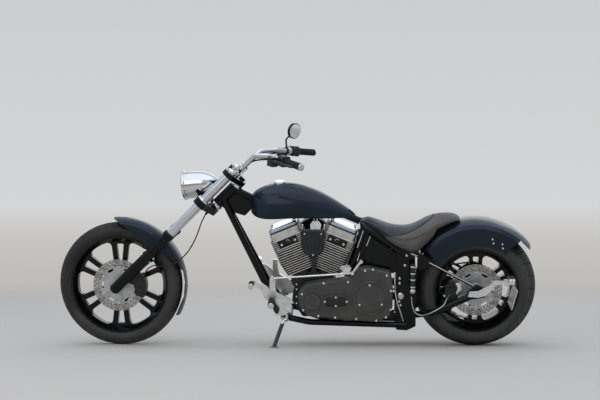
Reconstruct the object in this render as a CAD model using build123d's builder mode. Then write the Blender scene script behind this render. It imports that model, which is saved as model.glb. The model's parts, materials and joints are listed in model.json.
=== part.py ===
from build123d import *
from math import asin, cos, radians, sin, sqrt, tan
import os

os.makedirs("parts", exist_ok=True)

# A long, low motorcycle, drawn upright and then parked on its side stand.
# X points forward, Y to the left and Z up. Upright, the ground is Z = 0 and the
# centre plane is Y = 0. Sizes are in millimetres and angles in degrees.

# Stance
LEAN = 12.0  # to the left, on the side stand
STEER = 5.5  # front wheel turned to the right as parked
SIDE_SHIFT = -195.0  # brings the middle of the leaning machine over the origin
END_SHIFT = -4.5  # the same along the machine

# Wheels and tyres
FRONT_AXLE_X = 996.0
REAR_AXLE_X = -996.0
FRONT_RIM_R = 269.0  # bead seat
FRONT_SIDEWALL = 81.0  # from the bead seat to the tread
FRONT_CROWN = 65.0  # radius of the round tread
FRONT_TYRE_HALF = 60.0
REAR_RIM_R = 231.0
REAR_SIDEWALL = 109.0
REAR_CROWN = 165.0
REAR_TYRE_HALF = 130.0
TYRE_WALL = 10.0
DISC_R = 146.0
DISC_T = 5.0
CARRIER_R = 93.0  # ring of openings between the disc and its carrier
FRONT_DISC_Y = 62.0
REAR_DISC_Y = 100.0
PULLEY_R = 98.0
BELT_W = 20.0
BELT_IN = 136.0  # inner edge of the belt, outside the rear tyre on the right

# Steering
RAKE = 45.0  # fork and steering axis from the vertical
FORK_OFFSET = 65.0  # steering axis behind the fork tubes
FORK_HALF = 115.0  # fork tubes from the centre plane
TUBE_R = 25.0
LEG_R = 30.0
LEG_TIP = -40.0  # along the fork from the axle
LEG_TOP = 430.0
LOWER_TREE = 655.0
LOWER_TREE_T = 38.0
UPPER_TREE = 884.0
UPPER_TREE_T = 28.0
TUBE_TOP = 925.0
STEM_R = 14.0
AXLE_R = 10.0
AXLE_PLAY = 0.4  # between an axle or stem and its bore

# Frame
PIPE_R = 17.0
BACKBONE_R = 20.0
NECK_R = 31.0
RAIL_Y = 125.0
RAIL_Z = 165.0
PLATE_Y = 118.0
PLATE_T = 12.0

# Engine
CRANK = (-92.0, 285.0)
V_HALF = 22.5
BARREL_R = 62.0
BARREL_BASE = 150.0  # along each cylinder from the crank
BARREL_TOP = 330.0
FIN_FIRST = 175.0
FIN_COUNT = 12
FIN_PITCH = 13.2
FIN_T = 4.0
FIN_HALF = 99.0
HEAD_TOP = 389.0
HEAD_PITCH = 10.5
BASE_TOP = 426.0  # rocker base, below its cap
CAP_TOP = 452.0
CASE_HALF = 82.0
TUBE_Y = 103.0  # pushrod tubes, beside the fins on the right
PRIMARY_IN = 122.0
PRIMARY_OUT = 186.0
DERBY = (-408.0, 322.0)

# Bodywork
FENDER_GAP = 28.0  # from the front tyre's tread to the outside of its fender
FENDER_T = 3.0
FENDER_HALF = 74.0
TAIL_GAP = 50.0  # the same at the rear
TAIL_T = 4.0
TAIL_HALF = 148.0

c_lean = cos(radians(LEAN))
s_lean = sin(radians(LEAN))
c_rake = cos(radians(RAKE))
s_rake = sin(radians(RAKE))

FRONT_TYRE_R = FRONT_RIM_R + FRONT_SIDEWALL
REAR_TYRE_R = REAR_RIM_R + REAR_SIDEWALL
FENDER_R = FRONT_TYRE_R + FENDER_GAP
TAIL_R = REAR_TYRE_R + TAIL_GAP

# Upright axle heights that put both leaning tyres on the ground
REAR_AXLE_Z = (REAR_TYRE_R - REAR_CROWN) + REAR_CROWN / c_lean
wheel_y = -FORK_OFFSET * sin(radians(STEER))
wheel_dz = FORK_OFFSET * (cos(radians(STEER)) - 1) * s_rake
tilt = -cos(radians(STEER)) * s_lean + sin(radians(STEER)) * s_rake * c_lean
drop = (FRONT_TYRE_R - FRONT_CROWN) * sqrt(1 - tilt**2) + FRONT_CROWN
FRONT_AXLE_Z = (drop + wheel_y * s_lean) / c_lean - wheel_dz

def along_fork(s, v=0.0, y=0.0):
    """A point at s up the fork, v in front of it and y to the left."""
    return (FRONT_AXLE_X - s * s_rake + v * c_rake, y, FRONT_AXLE_Z + s * c_rake + v * s_rake)

def leaning_forward(origin, angle):
    """A plane whose normal leans forward by the angle, with its Y to the left."""
    a = radians(angle)
    return Plane(origin=origin, x_dir=(cos(a), 0, -sin(a)), z_dir=(sin(a), 0, cos(a)))

def side(y):
    """The side view plane at y: its X is forward, its Y is up, its normal points right."""
    return Plane(origin=(0, y, 0), x_dir=(1, 0, 0), z_dir=(0, -1, 0))

def across(x, z, y=0.0):
    """A plane whose normal points left, for round things that turn about the Y direction."""
    return Plane(origin=(x, y, z), x_dir=(0, 0, 1), z_dir=(0, 1, 0))

def half_section(x, z):
    """The plane of a wheel's section: its X is to the left and its Y is outward from the axle."""
    return Plane(origin=(x, 0, z), x_dir=(0, 1, 0), z_dir=(1, 0, 0))

FORK = leaning_forward(along_fork(0), -RAKE)
STEERING_AXIS = Axis(along_fork(0, -FORK_OFFSET), (-s_rake, 0, c_rake))
FRONT_AXIS = Axis((FRONT_AXLE_X, 0, FRONT_AXLE_Z), (0, 1, 0))
REAR_AXIS = Axis((REAR_AXLE_X, 0, REAR_AXLE_Z), (0, 1, 0))
FRONT_HALF = half_section(FRONT_AXLE_X, FRONT_AXLE_Z)
REAR_HALF = half_section(REAR_AXLE_X, REAR_AXLE_Z)

def parked(shape):
    """Lean an upright piece onto the side stand."""
    return shape.rotate(Axis.X, -LEAN).moved(Location((END_SHIFT, SIDE_SHIFT, 0)))

def steered(shape):
    """Turn a piece of the front end to the right and lean it."""
    return parked(shape.rotate(STEERING_AXIS, -STEER))

def pipe(points, radius, bend=None):
    """A round bar along straight runs joined by tangent arcs."""
    with BuildLine() as route:
        if bend is None:
            Polyline(*points)
        else:
            FilletPolyline(*points, radius=bend)
    start = Vector(*points[0])
    with BuildSketch(Plane(origin=start, z_dir=Vector(*points[1]) - start)) as ring:
        Circle(radius)
    sweep(ring.sketch, path=route.line)

def hose(points, radius, name):
    """A flexible line whose arcs take as much of its runs as they can."""
    corners = []
    for a, b, c in zip(points, points[1:], points[2:]):
        run_in = Vector(*b) - Vector(*a)
        run_out = Vector(*c) - Vector(*b)
        turn = radians(run_in.get_angle(run_out))
        corners.append(0.45 * min(run_in.length, run_out.length) / tan(turn / 2))
    print(name, "arc radii", [round(r) for r in corners])
    pipe(points, radius, corners)

def rod(a, b, radius, mode=Mode.ADD):
    """A straight round bar from a to b."""
    start = Vector(*a)
    run = Vector(*b) - start
    with BuildSketch(Plane(origin=start, z_dir=run)) as ring:
        Circle(radius)
    extrude(ring.sketch, amount=run.length, mode=mode)

def plate(outline, y, thickness, corner=0.0):
    """A flat plate in side view, from y to the right by its thickness."""
    with BuildSketch(side(y)) as flat:
        with BuildLine():
            Polyline(*outline, close=True)
        make_face()
        if corner:
            fillet(flat.vertices(), corner)
    extrude(flat.sketch, amount=thickness)

def wheel_point(radius, angle):
    """A point in side view at an angle from straight forward, for a wheel centred on 0."""
    return (radius * cos(radians(angle)), radius * sin(radians(angle)))

# Front wheel

with BuildPart() as front_tyre:
    with BuildSketch(FRONT_HALF):
        with BuildLine():
            shoulder = FRONT_TYRE_R - FRONT_CROWN + sqrt(FRONT_CROWN**2 - FRONT_TYRE_HALF**2)
            Polyline((48, FRONT_RIM_R), (48, FRONT_RIM_R + 18), (FRONT_TYRE_HALF, shoulder))
            ThreePointArc((FRONT_TYRE_HALF, shoulder), (0, FRONT_TYRE_R), (-FRONT_TYRE_HALF, shoulder))
            Polyline(
                (-FRONT_TYRE_HALF, shoulder), (-48, FRONT_RIM_R + 18), (-48, FRONT_RIM_R),
                (-36, FRONT_RIM_R),
            )
            Polyline((-36, FRONT_RIM_R), (-38, FRONT_RIM_R + 18), (-50, shoulder))
            ThreePointArc((-50, shoulder), (0, FRONT_TYRE_R - TYRE_WALL), (50, shoulder))
            Polyline((50, shoulder), (38, FRONT_RIM_R + 18), (36, FRONT_RIM_R), (48, FRONT_RIM_R))
        make_face()
    revolve(axis=FRONT_AXIS)
front_tyre.part = steered(front_tyre.part)
front_tyre.part.label = "front_tyre"
export_step(front_tyre.part, "parts/front_tyre.step")

def spoke_opening(inner, inner_half, outer, outer_half, corner):
    """An opening in a wheel, straight ahead of its hub: narrow inside, an arc outside."""
    bulge = sqrt(outer**2 + outer_half**2)
    with BuildSketch() as opening:
        with BuildLine():
            edge = ThreePointArc((outer, -outer_half), (bulge, 0), (outer, outer_half))
            Polyline(edge @ 1, (inner, inner_half), (inner, -inner_half), edge @ 0)
        make_face()
        fillet(opening.vertices(), corner)
    return opening

# The wheels have six pairs of spokes, with a large window between pairs and a slot in each pair
front_window = spoke_opening(96, 16, FRONT_RIM_R - 37, 74, 24)
front_slot = spoke_opening(110, 8, FRONT_RIM_R - 42, 20, 7)
rear_window = spoke_opening(92, 17, REAR_RIM_R - 48, 60, 20)
rear_slot = spoke_opening(104, 8, REAR_RIM_R - 52, 17, 6)

with BuildPart() as front_wheel:
    with BuildSketch(FRONT_HALF):
        with BuildLine():
            Polyline(
                (53, FRONT_RIM_R + 13), (48.3, FRONT_RIM_R + 13), (48.3, FRONT_RIM_R - 0.3),
                (32, FRONT_RIM_R - 0.3),
                (22, FRONT_RIM_R - 12), (-22, FRONT_RIM_R - 12), (-32, FRONT_RIM_R - 0.3),
                (-48.3, FRONT_RIM_R - 0.3),
                (-48.3, FRONT_RIM_R + 13), (-53, FRONT_RIM_R + 13), (-53, FRONT_RIM_R - 5),
                (-24, FRONT_RIM_R - 25), (24, FRONT_RIM_R - 25), (53, FRONT_RIM_R - 5), close=True,
            )
        make_face()
    revolve(axis=FRONT_AXIS)
    with BuildSketch(across(FRONT_AXLE_X, FRONT_AXLE_Z, -15)):
        Circle(FRONT_RIM_R - 24)
        with PolarLocations(0, 6, start_angle=30):
            add(front_window.sketch, mode=Mode.SUBTRACT)
        with PolarLocations(0, 6):
            add(front_slot.sketch, mode=Mode.SUBTRACT)
    extrude(amount=30)
    with BuildSketch(across(FRONT_AXLE_X, FRONT_AXLE_Z, -66)):
        Circle(38)
    extrude(amount=66 + FRONT_DISC_Y - DISC_T / 2)
    with BuildSketch(across(FRONT_AXLE_X, FRONT_AXLE_Z, -70)):
        Circle(AXLE_R + AXLE_PLAY)
    extrude(amount=160, mode=Mode.SUBTRACT)
front_wheel.part = steered(front_wheel.part)
front_wheel.part.label = "front_wheel"
export_step(front_wheel.part, "parts/front_wheel.step")

with BuildPart() as front_disc:
    with BuildSketch(across(FRONT_AXLE_X, FRONT_AXLE_Z, FRONT_DISC_Y - DISC_T / 2)):
        Circle(DISC_R)
        with PolarLocations(CARRIER_R, 6, start_angle=30):
            SlotOverall(36, 14, rotation=90, mode=Mode.SUBTRACT)
        Circle(AXLE_R + 4, mode=Mode.SUBTRACT)
    extrude(amount=DISC_T)
    with BuildSketch(across(FRONT_AXLE_X, FRONT_AXLE_Z, FRONT_DISC_Y + DISC_T / 2)):
        Circle(36)
        Circle(AXLE_R + 4, mode=Mode.SUBTRACT)
    extrude(amount=8)
front_disc.part = steered(front_disc.part)
front_disc.part.label = "front_brake_disc"
export_step(front_disc.part, "parts/front_brake_disc.step")

# Rear wheel

with BuildPart() as rear_tyre:
    with BuildSketch(REAR_HALF):
        with BuildLine():
            shoulder = REAR_TYRE_R - REAR_CROWN + sqrt(REAR_CROWN**2 - REAR_TYRE_HALF**2)
            Polyline((116, REAR_RIM_R), (116, REAR_RIM_R + 20), (REAR_TYRE_HALF, shoulder))
            ThreePointArc((REAR_TYRE_HALF, shoulder), (0, REAR_TYRE_R), (-REAR_TYRE_HALF, shoulder))
            Polyline(
                (-REAR_TYRE_HALF, shoulder), (-116, REAR_RIM_R + 20), (-116, REAR_RIM_R),
                (-103, REAR_RIM_R),
            )
            Polyline((-103, REAR_RIM_R), (-105, REAR_RIM_R + 20), (-118, shoulder))
            ThreePointArc((-118, shoulder), (0, REAR_TYRE_R - TYRE_WALL), (118, shoulder))
            Polyline((118, shoulder), (105, REAR_RIM_R + 20), (103, REAR_RIM_R), (116, REAR_RIM_R))
        make_face()
    revolve(axis=REAR_AXIS)
rear_tyre.part = parked(rear_tyre.part)
rear_tyre.part.label = "rear_tyre"
export_step(rear_tyre.part, "parts/rear_tyre.step")

with BuildPart() as rear_wheel:
    with BuildSketch(REAR_HALF):
        with BuildLine():
            Polyline(
                (121, REAR_RIM_R + 15), (116.3, REAR_RIM_R + 15), (116.3, REAR_RIM_R - 0.3),
                (92, REAR_RIM_R - 0.3),
                (76, REAR_RIM_R - 16), (-76, REAR_RIM_R - 16), (-92, REAR_RIM_R - 0.3),
                (-116.3, REAR_RIM_R - 0.3),
                (-116.3, REAR_RIM_R + 15), (-121, REAR_RIM_R + 15), (-121, REAR_RIM_R - 4),
                (-78, REAR_RIM_R - 28), (60, REAR_RIM_R - 28), (121, REAR_RIM_R - 4), close=True,
            )
        make_face()
    revolve(axis=REAR_AXIS)
    with BuildSketch(across(REAR_AXLE_X, REAR_AXLE_Z, 16)):
        Circle(REAR_RIM_R - 26)
        with PolarLocations(0, 6, start_angle=30):
            add(rear_window.sketch, mode=Mode.SUBTRACT)
        with PolarLocations(0, 6):
            add(rear_slot.sketch, mode=Mode.SUBTRACT)
    extrude(amount=44)
    with BuildSketch(across(REAR_AXLE_X, REAR_AXLE_Z, -BELT_IN)):
        Circle(44)
    extrude(amount=BELT_IN + REAR_DISC_Y - DISC_T / 2)
    with BuildSketch(across(REAR_AXLE_X, REAR_AXLE_Z, -BELT_IN - 4)):
        Circle(AXLE_R + 2 + AXLE_PLAY)
    extrude(amount=260, mode=Mode.SUBTRACT)
rear_wheel.part = parked(rear_wheel.part)
rear_wheel.part.label = "rear_wheel"
export_step(rear_wheel.part, "parts/rear_wheel.step")

with BuildPart() as rear_disc:
    with BuildSketch(across(REAR_AXLE_X, REAR_AXLE_Z, REAR_DISC_Y - DISC_T / 2)):
        Circle(DISC_R)
        with PolarLocations(CARRIER_R, 6, start_angle=30):
            SlotOverall(36, 14, rotation=90, mode=Mode.SUBTRACT)
        Circle(AXLE_R + 5, mode=Mode.SUBTRACT)
    extrude(amount=DISC_T)
    with BuildSketch(across(REAR_AXLE_X, REAR_AXLE_Z, REAR_DISC_Y + DISC_T / 2)):
        Circle(40)
        Circle(AXLE_R + 5, mode=Mode.SUBTRACT)
    extrude(amount=12)
rear_disc.part = parked(rear_disc.part)
rear_disc.part.label = "rear_brake_disc"
export_step(rear_disc.part, "parts/rear_brake_disc.step")

with BuildPart() as rear_pulley:
    with BuildSketch(across(REAR_AXLE_X, REAR_AXLE_Z, -BELT_IN - BELT_W)):
        Circle(PULLEY_R)
        Circle(AXLE_R + 5, mode=Mode.SUBTRACT)
        with PolarLocations(62, 5):
            Circle(17, mode=Mode.SUBTRACT)
    extrude(amount=BELT_W)
rear_pulley.part = parked(rear_pulley.part)
rear_pulley.part.label = "rear_belt_pulley"
export_step(rear_pulley.part, "parts/rear_belt_pulley.step")

# Fork

with BuildPart() as fork_tubes:
    with BuildSketch(FORK.offset(LEG_TOP)):
        with Locations((0, FORK_HALF), (0, -FORK_HALF)):
            Circle(TUBE_R)
    extrude(amount=TUBE_TOP - LEG_TOP)
    with BuildSketch(FORK.offset(LOWER_TREE + LOWER_TREE_T)):
        with Locations((0, FORK_HALF), (0, -FORK_HALF)):
            Circle(TUBE_R + 8)
    extrude(amount=14)
fork_tubes_upright = fork_tubes.part
fork_tubes.part = steered(fork_tubes.part)
fork_tubes.part.label = "fork_tubes"
export_step(fork_tubes.part, "parts/fork_tubes.step")

AXLE_LEFT = FORK_HALF + LEG_R - 9  # the left leg is closed over the axle
with BuildPart() as fork_legs:
    with BuildSketch(FORK.offset(LEG_TIP)):
        with Locations((0, FORK_HALF), (0, -FORK_HALF)):
            Circle(LEG_R)
    extrude(amount=LEG_TOP - LEG_TIP)
    tips = fork_legs.faces().sort_by(STEERING_AXIS)[:2].edges()
    fillet(tips, 24)
    with BuildSketch(FORK.offset(LEG_TOP - 26)):
        with Locations((0, FORK_HALF), (0, -FORK_HALF)):
            Circle(LEG_R + 3)
    extrude(amount=20)
    with BuildSketch(across(FRONT_AXLE_X, FRONT_AXLE_Z, -150)):
        Circle(AXLE_R)
    extrude(amount=150 + AXLE_LEFT, mode=Mode.SUBTRACT)
fork_legs_upright = fork_legs.part
fork_legs.part = steered(fork_legs.part)
fork_legs.part.label = "fork_legs"
export_step(fork_legs.part, "parts/fork_legs.step")

with BuildPart() as front_axle:
    with BuildSketch(across(FRONT_AXLE_X, FRONT_AXLE_Z, -FORK_HALF - 32)):
        Circle(AXLE_R)
    extrude(amount=FORK_HALF + 32 + AXLE_LEFT)
    with BuildSketch(across(FRONT_AXLE_X, FRONT_AXLE_Z, -FORK_HALF - LEG_R - 9)):
        RegularPolygon(18, 6)
    extrude(amount=9)
front_axle.part = steered(front_axle.part)
front_axle.part.label = "front_axle"
export_step(front_axle.part, "parts/front_axle.step")

# The front brake hose hangs from a union under the lower tree
HOSE_UNION = 16.0
HOSE_V = -61.0
HOSE_Y = 60.0
HOSE_R = 3.5
with BuildPart() as triple_trees:
    for level, thick in ((LOWER_TREE, LOWER_TREE_T), (UPPER_TREE, UPPER_TREE_T)):
        with BuildSketch(FORK.offset(level)) as tree:
            with Locations((0, FORK_HALF), (0, -FORK_HALF)):
                Circle(TUBE_R + 13)
            with BuildLine():
                Polyline(
                    (26, FORK_HALF + 20), (16, 0), (26, -FORK_HALF - 20), (-30, -FORK_HALF - 20),
                    (-FORK_OFFSET - 34, -26), (-FORK_OFFSET - 34, 26), (-30, FORK_HALF + 20), close=True,
                )
            make_face()
        extrude(amount=thick)
    with BuildSketch(FORK.offset(LOWER_TREE)):
        with Locations((-FORK_OFFSET, 0)):
            Circle(STEM_R)
    extrude(amount=UPPER_TREE - LOWER_TREE)
    with BuildSketch(FORK.offset(UPPER_TREE + UPPER_TREE_T)):
        with Locations((-FORK_OFFSET, 0)):
            RegularPolygon(17, 6)
    extrude(amount=12)
    rod(along_fork(LOWER_TREE - HOSE_UNION, HOSE_V, HOSE_Y), along_fork(LOWER_TREE, HOSE_V, HOSE_Y), 7)
    add(fork_tubes_upright, mode=Mode.SUBTRACT)
trees_upright = triple_trees.part
triple_trees.part = steered(triple_trees.part)
triple_trees.part.label = "triple_trees"
export_step(triple_trees.part, "parts/triple_trees.step")

BAR_R = 14.0
GRIP_END = (-62.0, 398.0, 1065.0)
GRIP_DIR = Vector(-0.66, 0.74, -0.12).normalized()
GRIP_LENGTH = 132.0
GRIP_R = 18.0

def on_bar(distance, hand=1):
    """A point on the straight end of the bar, measured inward from the grip's end."""
    p = Vector(*GRIP_END) - GRIP_DIR * distance
    return (p.X, p.Y * hand, p.Z)

with BuildPart() as handlebar:
    clamp = along_fork(UPPER_TREE + UPPER_TREE_T + 44, -24)
    for hand in (1, -1):
        pipe(
            [
                (clamp[0], 0, clamp[2]),
                (clamp[0], hand * 78, clamp[2]),
                (clamp[0] - 88, hand * 140, clamp[2] + 84),
                on_bar(292, hand),
                on_bar(8, hand),
            ],
            BAR_R, [30, 40, 40],
        )
    with BuildSketch(FORK.offset(UPPER_TREE + UPPER_TREE_T)):
        with Locations((-24, 48), (-24, -48)):
            Circle(19)
    extrude(amount=44)
    for y in (30, -66):
        with BuildSketch(across(clamp[0], clamp[2], y)):
            Circle(25)
        extrude(amount=36)
handlebar_upright = handlebar.part
handlebar.part = steered(handlebar.part)
handlebar.part.label = "handlebar"
export_step(handlebar.part, "parts/handlebar.step")

with BuildPart() as grips:
    for hand in (1, -1):
        rod(on_bar(GRIP_LENGTH, hand), on_bar(0, hand), GRIP_R)
        rod(on_bar(GRIP_LENGTH, hand), on_bar(GRIP_LENGTH - 6, hand), GRIP_R + 5)
        rod(on_bar(6, hand), on_bar(-6, hand), GRIP_R + 2)
    add(handlebar_upright, mode=Mode.SUBTRACT)
grips.part = steered(grips.part)
grips.part.label = "handlebar_grips"
export_step(grips.part, "parts/handlebar_grips.step")

PERCH = GRIP_LENGTH + 70  # clutch and brake perches, measured like the grips
HOUSING_R = 27.0
CLAMP_R = 22.0
CYLINDER_R = 15.0
LEVER_GAP = 46.0
MIRROR_BOSS = 36.0
MIRROR_DEPTH = 18.0
MIRROR_THREAD_R = 4.4
# A hand lever in plan, along the bar and ahead of it from its pivot
LEVER = [
    (-14, -9), (10, -10), (56, 1), (118, 4), (170, 1), (182, -2), (190, 4), (182, 12), (166, 14), (114, 17),
    (54, 15), (8, 12), (-14, 9),
]
with BuildPart() as hand_controls:
    for hand in (1, -1):
        outward = Vector(GRIP_DIR.X, GRIP_DIR.Y * hand, GRIP_DIR.Z)
        ahead = Vector(GRIP_DIR.Y, -GRIP_DIR.X * hand, 0).normalized()
        upward = outward.cross(ahead) * hand
        perch = Vector(*on_bar(PERCH, hand))
        pivot = perch + ahead * LEVER_GAP
        # Switch housing, perch clamp and the cylinder that carries the lever
        rod(on_bar(GRIP_LENGTH + 54, hand), on_bar(GRIP_LENGTH + 1, hand), HOUSING_R)
        rod(on_bar(PERCH + 16, hand), on_bar(PERCH - 14, hand), CLAMP_R)
        rod(tuple(perch + ahead * 30 - outward * 44), tuple(perch + ahead * 30 + outward * 22), CYLINDER_R)
        grip_plane = Plane(origin=tuple(pivot), x_dir=tuple(outward), z_dir=tuple(upward))
        with BuildSketch(grip_plane.offset(-15)):
            Circle(14)
        extrude(amount=30)
        # Fluid reservoir
        with BuildSketch(grip_plane.offset(8)):
            with Locations((-18, (28 - LEVER_GAP) * hand)):
                RectangleRounded(54, 42, 9)
        extrude(amount=30)
        with BuildSketch(grip_plane.offset(-5)) as blade:
            with BuildLine():
                Polyline(*[(x, y * hand) for x, y in LEVER], close=True)
            make_face()
        extrude(amount=10)
    # Boss on the left perch with a threaded hole for a second mirror
    boss = Vector(*on_bar(PERCH, 1))
    with BuildSketch(Plane(origin=tuple(boss), z_dir=(0, 0, 1))):
        Circle(11)
    extrude(amount=MIRROR_BOSS)
    add(handlebar_upright, mode=Mode.SUBTRACT)
    with BuildSketch(Plane(origin=tuple(boss + Vector(0, 0, MIRROR_BOSS - MIRROR_DEPTH)), z_dir=(0, 0, 1))):
        Circle(MIRROR_THREAD_R)
    extrude(amount=MIRROR_DEPTH, mode=Mode.SUBTRACT)
hand_controls_upright = hand_controls.part
hand_controls.part = steered(hand_controls.part)
hand_controls.part.label = "hand_controls"
export_step(hand_controls.part, "parts/hand_controls.step")

with BuildPart() as mirror:
    foot = Vector(*on_bar(PERCH, -1)) + Vector(8, 0, 18)
    face = Vector(38, -318, 1196)
    pipe([tuple(foot), tuple(foot + Vector(4, 4, 44)), tuple(face + Vector(14, -2, -4))], 5, 12)
    with BuildSketch(Plane(origin=face, x_dir=(0.5, 0.86, 0), z_dir=(0.86, -0.5, 0.1))):
        Ellipse(54, 45)
    extrude(amount=14)
    add(hand_controls_upright, mode=Mode.SUBTRACT)
mirror.part = steered(mirror.part)
mirror.part.label = "mirror"
export_step(mirror.part, "parts/mirror.step")

LAMP_R = 75.0
LAMP_FRONT = Vector(*along_fork(LOWER_TREE + 1, 134.4))
LAMP_DIR = Vector(195, 0, -22).normalized()
with BuildPart() as headlight:
    with BuildSketch(Plane(
        origin=LAMP_FRONT, x_dir=(0, 1, 0), z_dir=(LAMP_DIR.cross(Vector(0, 1, 0)) * -1),
    )) as shell:
        with BuildLine():
            Polyline((LAMP_R - 4, 2), (LAMP_R, 2), (LAMP_R + 3, -5), (LAMP_R, -12), (LAMP_R - 1, -70))
            ThreePointArc((LAMP_R - 1, -70), (52, -150), (5, -204))
            Polyline((5, -204), (0, -204), (0, -200), (3, -200))
            ThreePointArc((3, -200), (48, -147), (LAMP_R - 5, -70))
            Polyline((LAMP_R - 5, -70), (LAMP_R - 4, -6), (LAMP_R - 4, 2))
        make_face()
    revolve(axis=Axis(tuple(LAMP_FRONT), tuple(LAMP_DIR)))
headlight_upright = headlight.part

with BuildPart() as headlight_lens:
    with BuildSketch(Plane(
        origin=LAMP_FRONT, x_dir=(0, 1, 0), z_dir=(LAMP_DIR.cross(Vector(0, 1, 0)) * -1),
    )):
        with BuildLine():
            Polyline((0, -4), (LAMP_R - 4, -6), (LAMP_R - 4, -1))
            ThreePointArc((LAMP_R - 4, -1), (LAMP_R / 2, 6), (4, 9))
            Polyline((4, 9), (0, 9), (0, -4))
        make_face()
    revolve(axis=Axis(tuple(LAMP_FRONT), tuple(LAMP_DIR)))
headlight_lens.part = steered(headlight_lens.part)
headlight_lens.part.label = "headlight_lens"
export_step(headlight_lens.part, "parts/headlight_lens.step")
headlight.part = steered(headlight.part)
headlight.part.label = "headlight"
export_step(headlight.part, "parts/headlight.step")

with BuildPart() as lamp_bracket:
    low = along_fork(LOWER_TREE + LOWER_TREE_T, 6)
    with BuildSketch(side(17)) as arm:
        with BuildLine():
            Polyline(
                (low[0] - 26, low[2]), (low[0] + 20, low[2] - 30), (low[0] + 43, low[2] + 2),
                (low[0] + 23, low[2] + 14), (low[0] - 47, low[2] + 57), (low[0] - 85, low[2] + 72),
                close=True,
            )
        make_face()
    extrude(amount=34)
    add(headlight_upright, mode=Mode.SUBTRACT)
    add(trees_upright, mode=Mode.SUBTRACT)
lamp_bracket.part = steered(lamp_bracket.part)
lamp_bracket.part.label = "headlight_bracket"
export_step(lamp_bracket.part, "parts/headlight_bracket.step")

with BuildPart() as front_fender:
    with BuildSketch(FRONT_HALF) as shell:
        with BuildLine():
            crown = ThreePointArc(
                (FENDER_HALF - 10, FENDER_R - 12), (0, FENDER_R), (10 - FENDER_HALF, FENDER_R - 12),
            )
            Polyline(crown @ 1, (-FENDER_HALF, FENDER_R - 30), (-FENDER_HALF, 246))
            Polyline(
                (-FENDER_HALF, 246), (FENDER_T - FENDER_HALF, 246),
                (FENDER_T - FENDER_HALF, FENDER_R - 31),
            )
            inner = ThreePointArc(
                (12 - FENDER_HALF, FENDER_R - 12 - FENDER_T), (0, FENDER_R - FENDER_T),
                (FENDER_HALF - 12, FENDER_R - 12 - FENDER_T),
            )
            Line((FENDER_T - FENDER_HALF, FENDER_R - 31), inner @ 0)
            Polyline(inner @ 1, (FENDER_HALF - FENDER_T, FENDER_R - 31), (FENDER_HALF - FENDER_T, 246))
            Polyline(
                (FENDER_HALF - FENDER_T, 246), (FENDER_HALF, 246), (FENDER_HALF, FENDER_R - 30),
                crown @ 0,
            )
        make_face()
    revolve(axis=FRONT_AXIS)
    keep = [
        (42, 384), (27, 373), (0, 361), (-16, 346), (-52, 324), (-92, 299), (-128, 277), (-145, 252),
        (-149, 212),
        (-160, 198),
        (-200, 180), (-262, 186), (-330, 128), (-362, 84), (-372, 20), (-366, -60), (-345, -110),
        (-322, -166), (-420, -200), (-480, 60), (-380, 330), (-160, 470),
    ]
    with BuildSketch(side(120)):
        with BuildLine():
            Polyline(*[(FRONT_AXLE_X + x, FRONT_AXLE_Z + z) for x, z in keep], close=True)
        make_face()
    extrude(amount=240, mode=Mode.INTERSECT)
    for hand in (1, -1):
        with BuildSketch(FORK.offset(232)):
            with Locations((-3, hand * (FENDER_HALF + 5))):
                Rectangle(74, 10)
        extrude(amount=26)
    add(fork_legs_upright, mode=Mode.SUBTRACT)
fender_upright = front_fender.part
front_fender.part = steered(front_fender.part)
front_fender.part.label = "front_fender"
export_step(front_fender.part, "parts/front_fender.step")

def caliper_body(hub, from_angle, to_angle):
    """A caliper in side view: a rounded block round the disc's edge, between two angles."""
    inner, outer = DISC_R - 52, DISC_R + 14
    middle = (from_angle + to_angle) / 2
    around = [wheel_point(r, a) for r, a in (
        (outer, from_angle), (outer + 1, middle), (outer, to_angle), (inner, to_angle),
        (inner + 3, middle), (inner, from_angle),
    )]
    with BuildSketch() as body:
        with BuildLine():
            ThreePointArc(around[0], around[1], around[2])
            Line(around[2], around[3])
            ThreePointArc(around[3], around[4], around[5])
            Line(around[5], around[0])
        make_face()
        fillet(body.vertices(), 15)
    return body.sketch.moved(Location((hub[0], hub[1], 0)))

def caliper_faces(hub, angles):
    """The round ends of a caliper's pistons in side view."""
    with BuildSketch() as ends:
        for angle in angles:
            with Locations(wheel_point(DISC_R - 20, angle)):
                Circle(18)
    return ends.sketch.moved(Location((hub[0], hub[1], 0)))

CALIPER_HALF = 27.0  # half of its width over the disc
PAD_GAP = 3.5  # beside the disc
with BuildPart() as front_caliper:
    hub = (FRONT_AXLE_X, FRONT_AXLE_Z)
    extrude(side(FRONT_DISC_Y + CALIPER_HALF) * caliper_body(hub, 152, 206), amount=2 * CALIPER_HALF)
    extrude(side(FRONT_DISC_Y + CALIPER_HALF + 6) * caliper_faces(hub, (166, 191)), amount=6)
    caliper_x = FRONT_AXLE_X - 132
    caliper_z = FRONT_AXLE_Z - 10
    with BuildSketch(across(FRONT_AXLE_X, FRONT_AXLE_Z, FRONT_DISC_Y - DISC_T / 2 - PAD_GAP)):
        Circle(DISC_R + 5)
    extrude(amount=DISC_T + 2 * PAD_GAP, mode=Mode.SUBTRACT)
    with BuildSketch(side(FORK_HALF - LEG_R + 6)):
        with BuildLine():
            Polyline(
                (caliper_x - 20, caliper_z + 50), (caliper_x + 26, caliper_z + 92),
                (caliper_x + 58, caliper_z + 74),
                (caliper_x + 84, caliper_z + 30), (caliper_x + 22, caliper_z + 10),
                (caliper_x - 26, caliper_z + 20),
                close=True,
            )
        make_face()
    extrude(amount=12)
    add(fork_legs_upright, mode=Mode.SUBTRACT)
front_caliper_upright = front_caliper.part
front_caliper.part = steered(front_caliper.part)
front_caliper.part.label = "front_brake_caliper"
export_step(front_caliper.part, "parts/front_brake_caliper.step")

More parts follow.
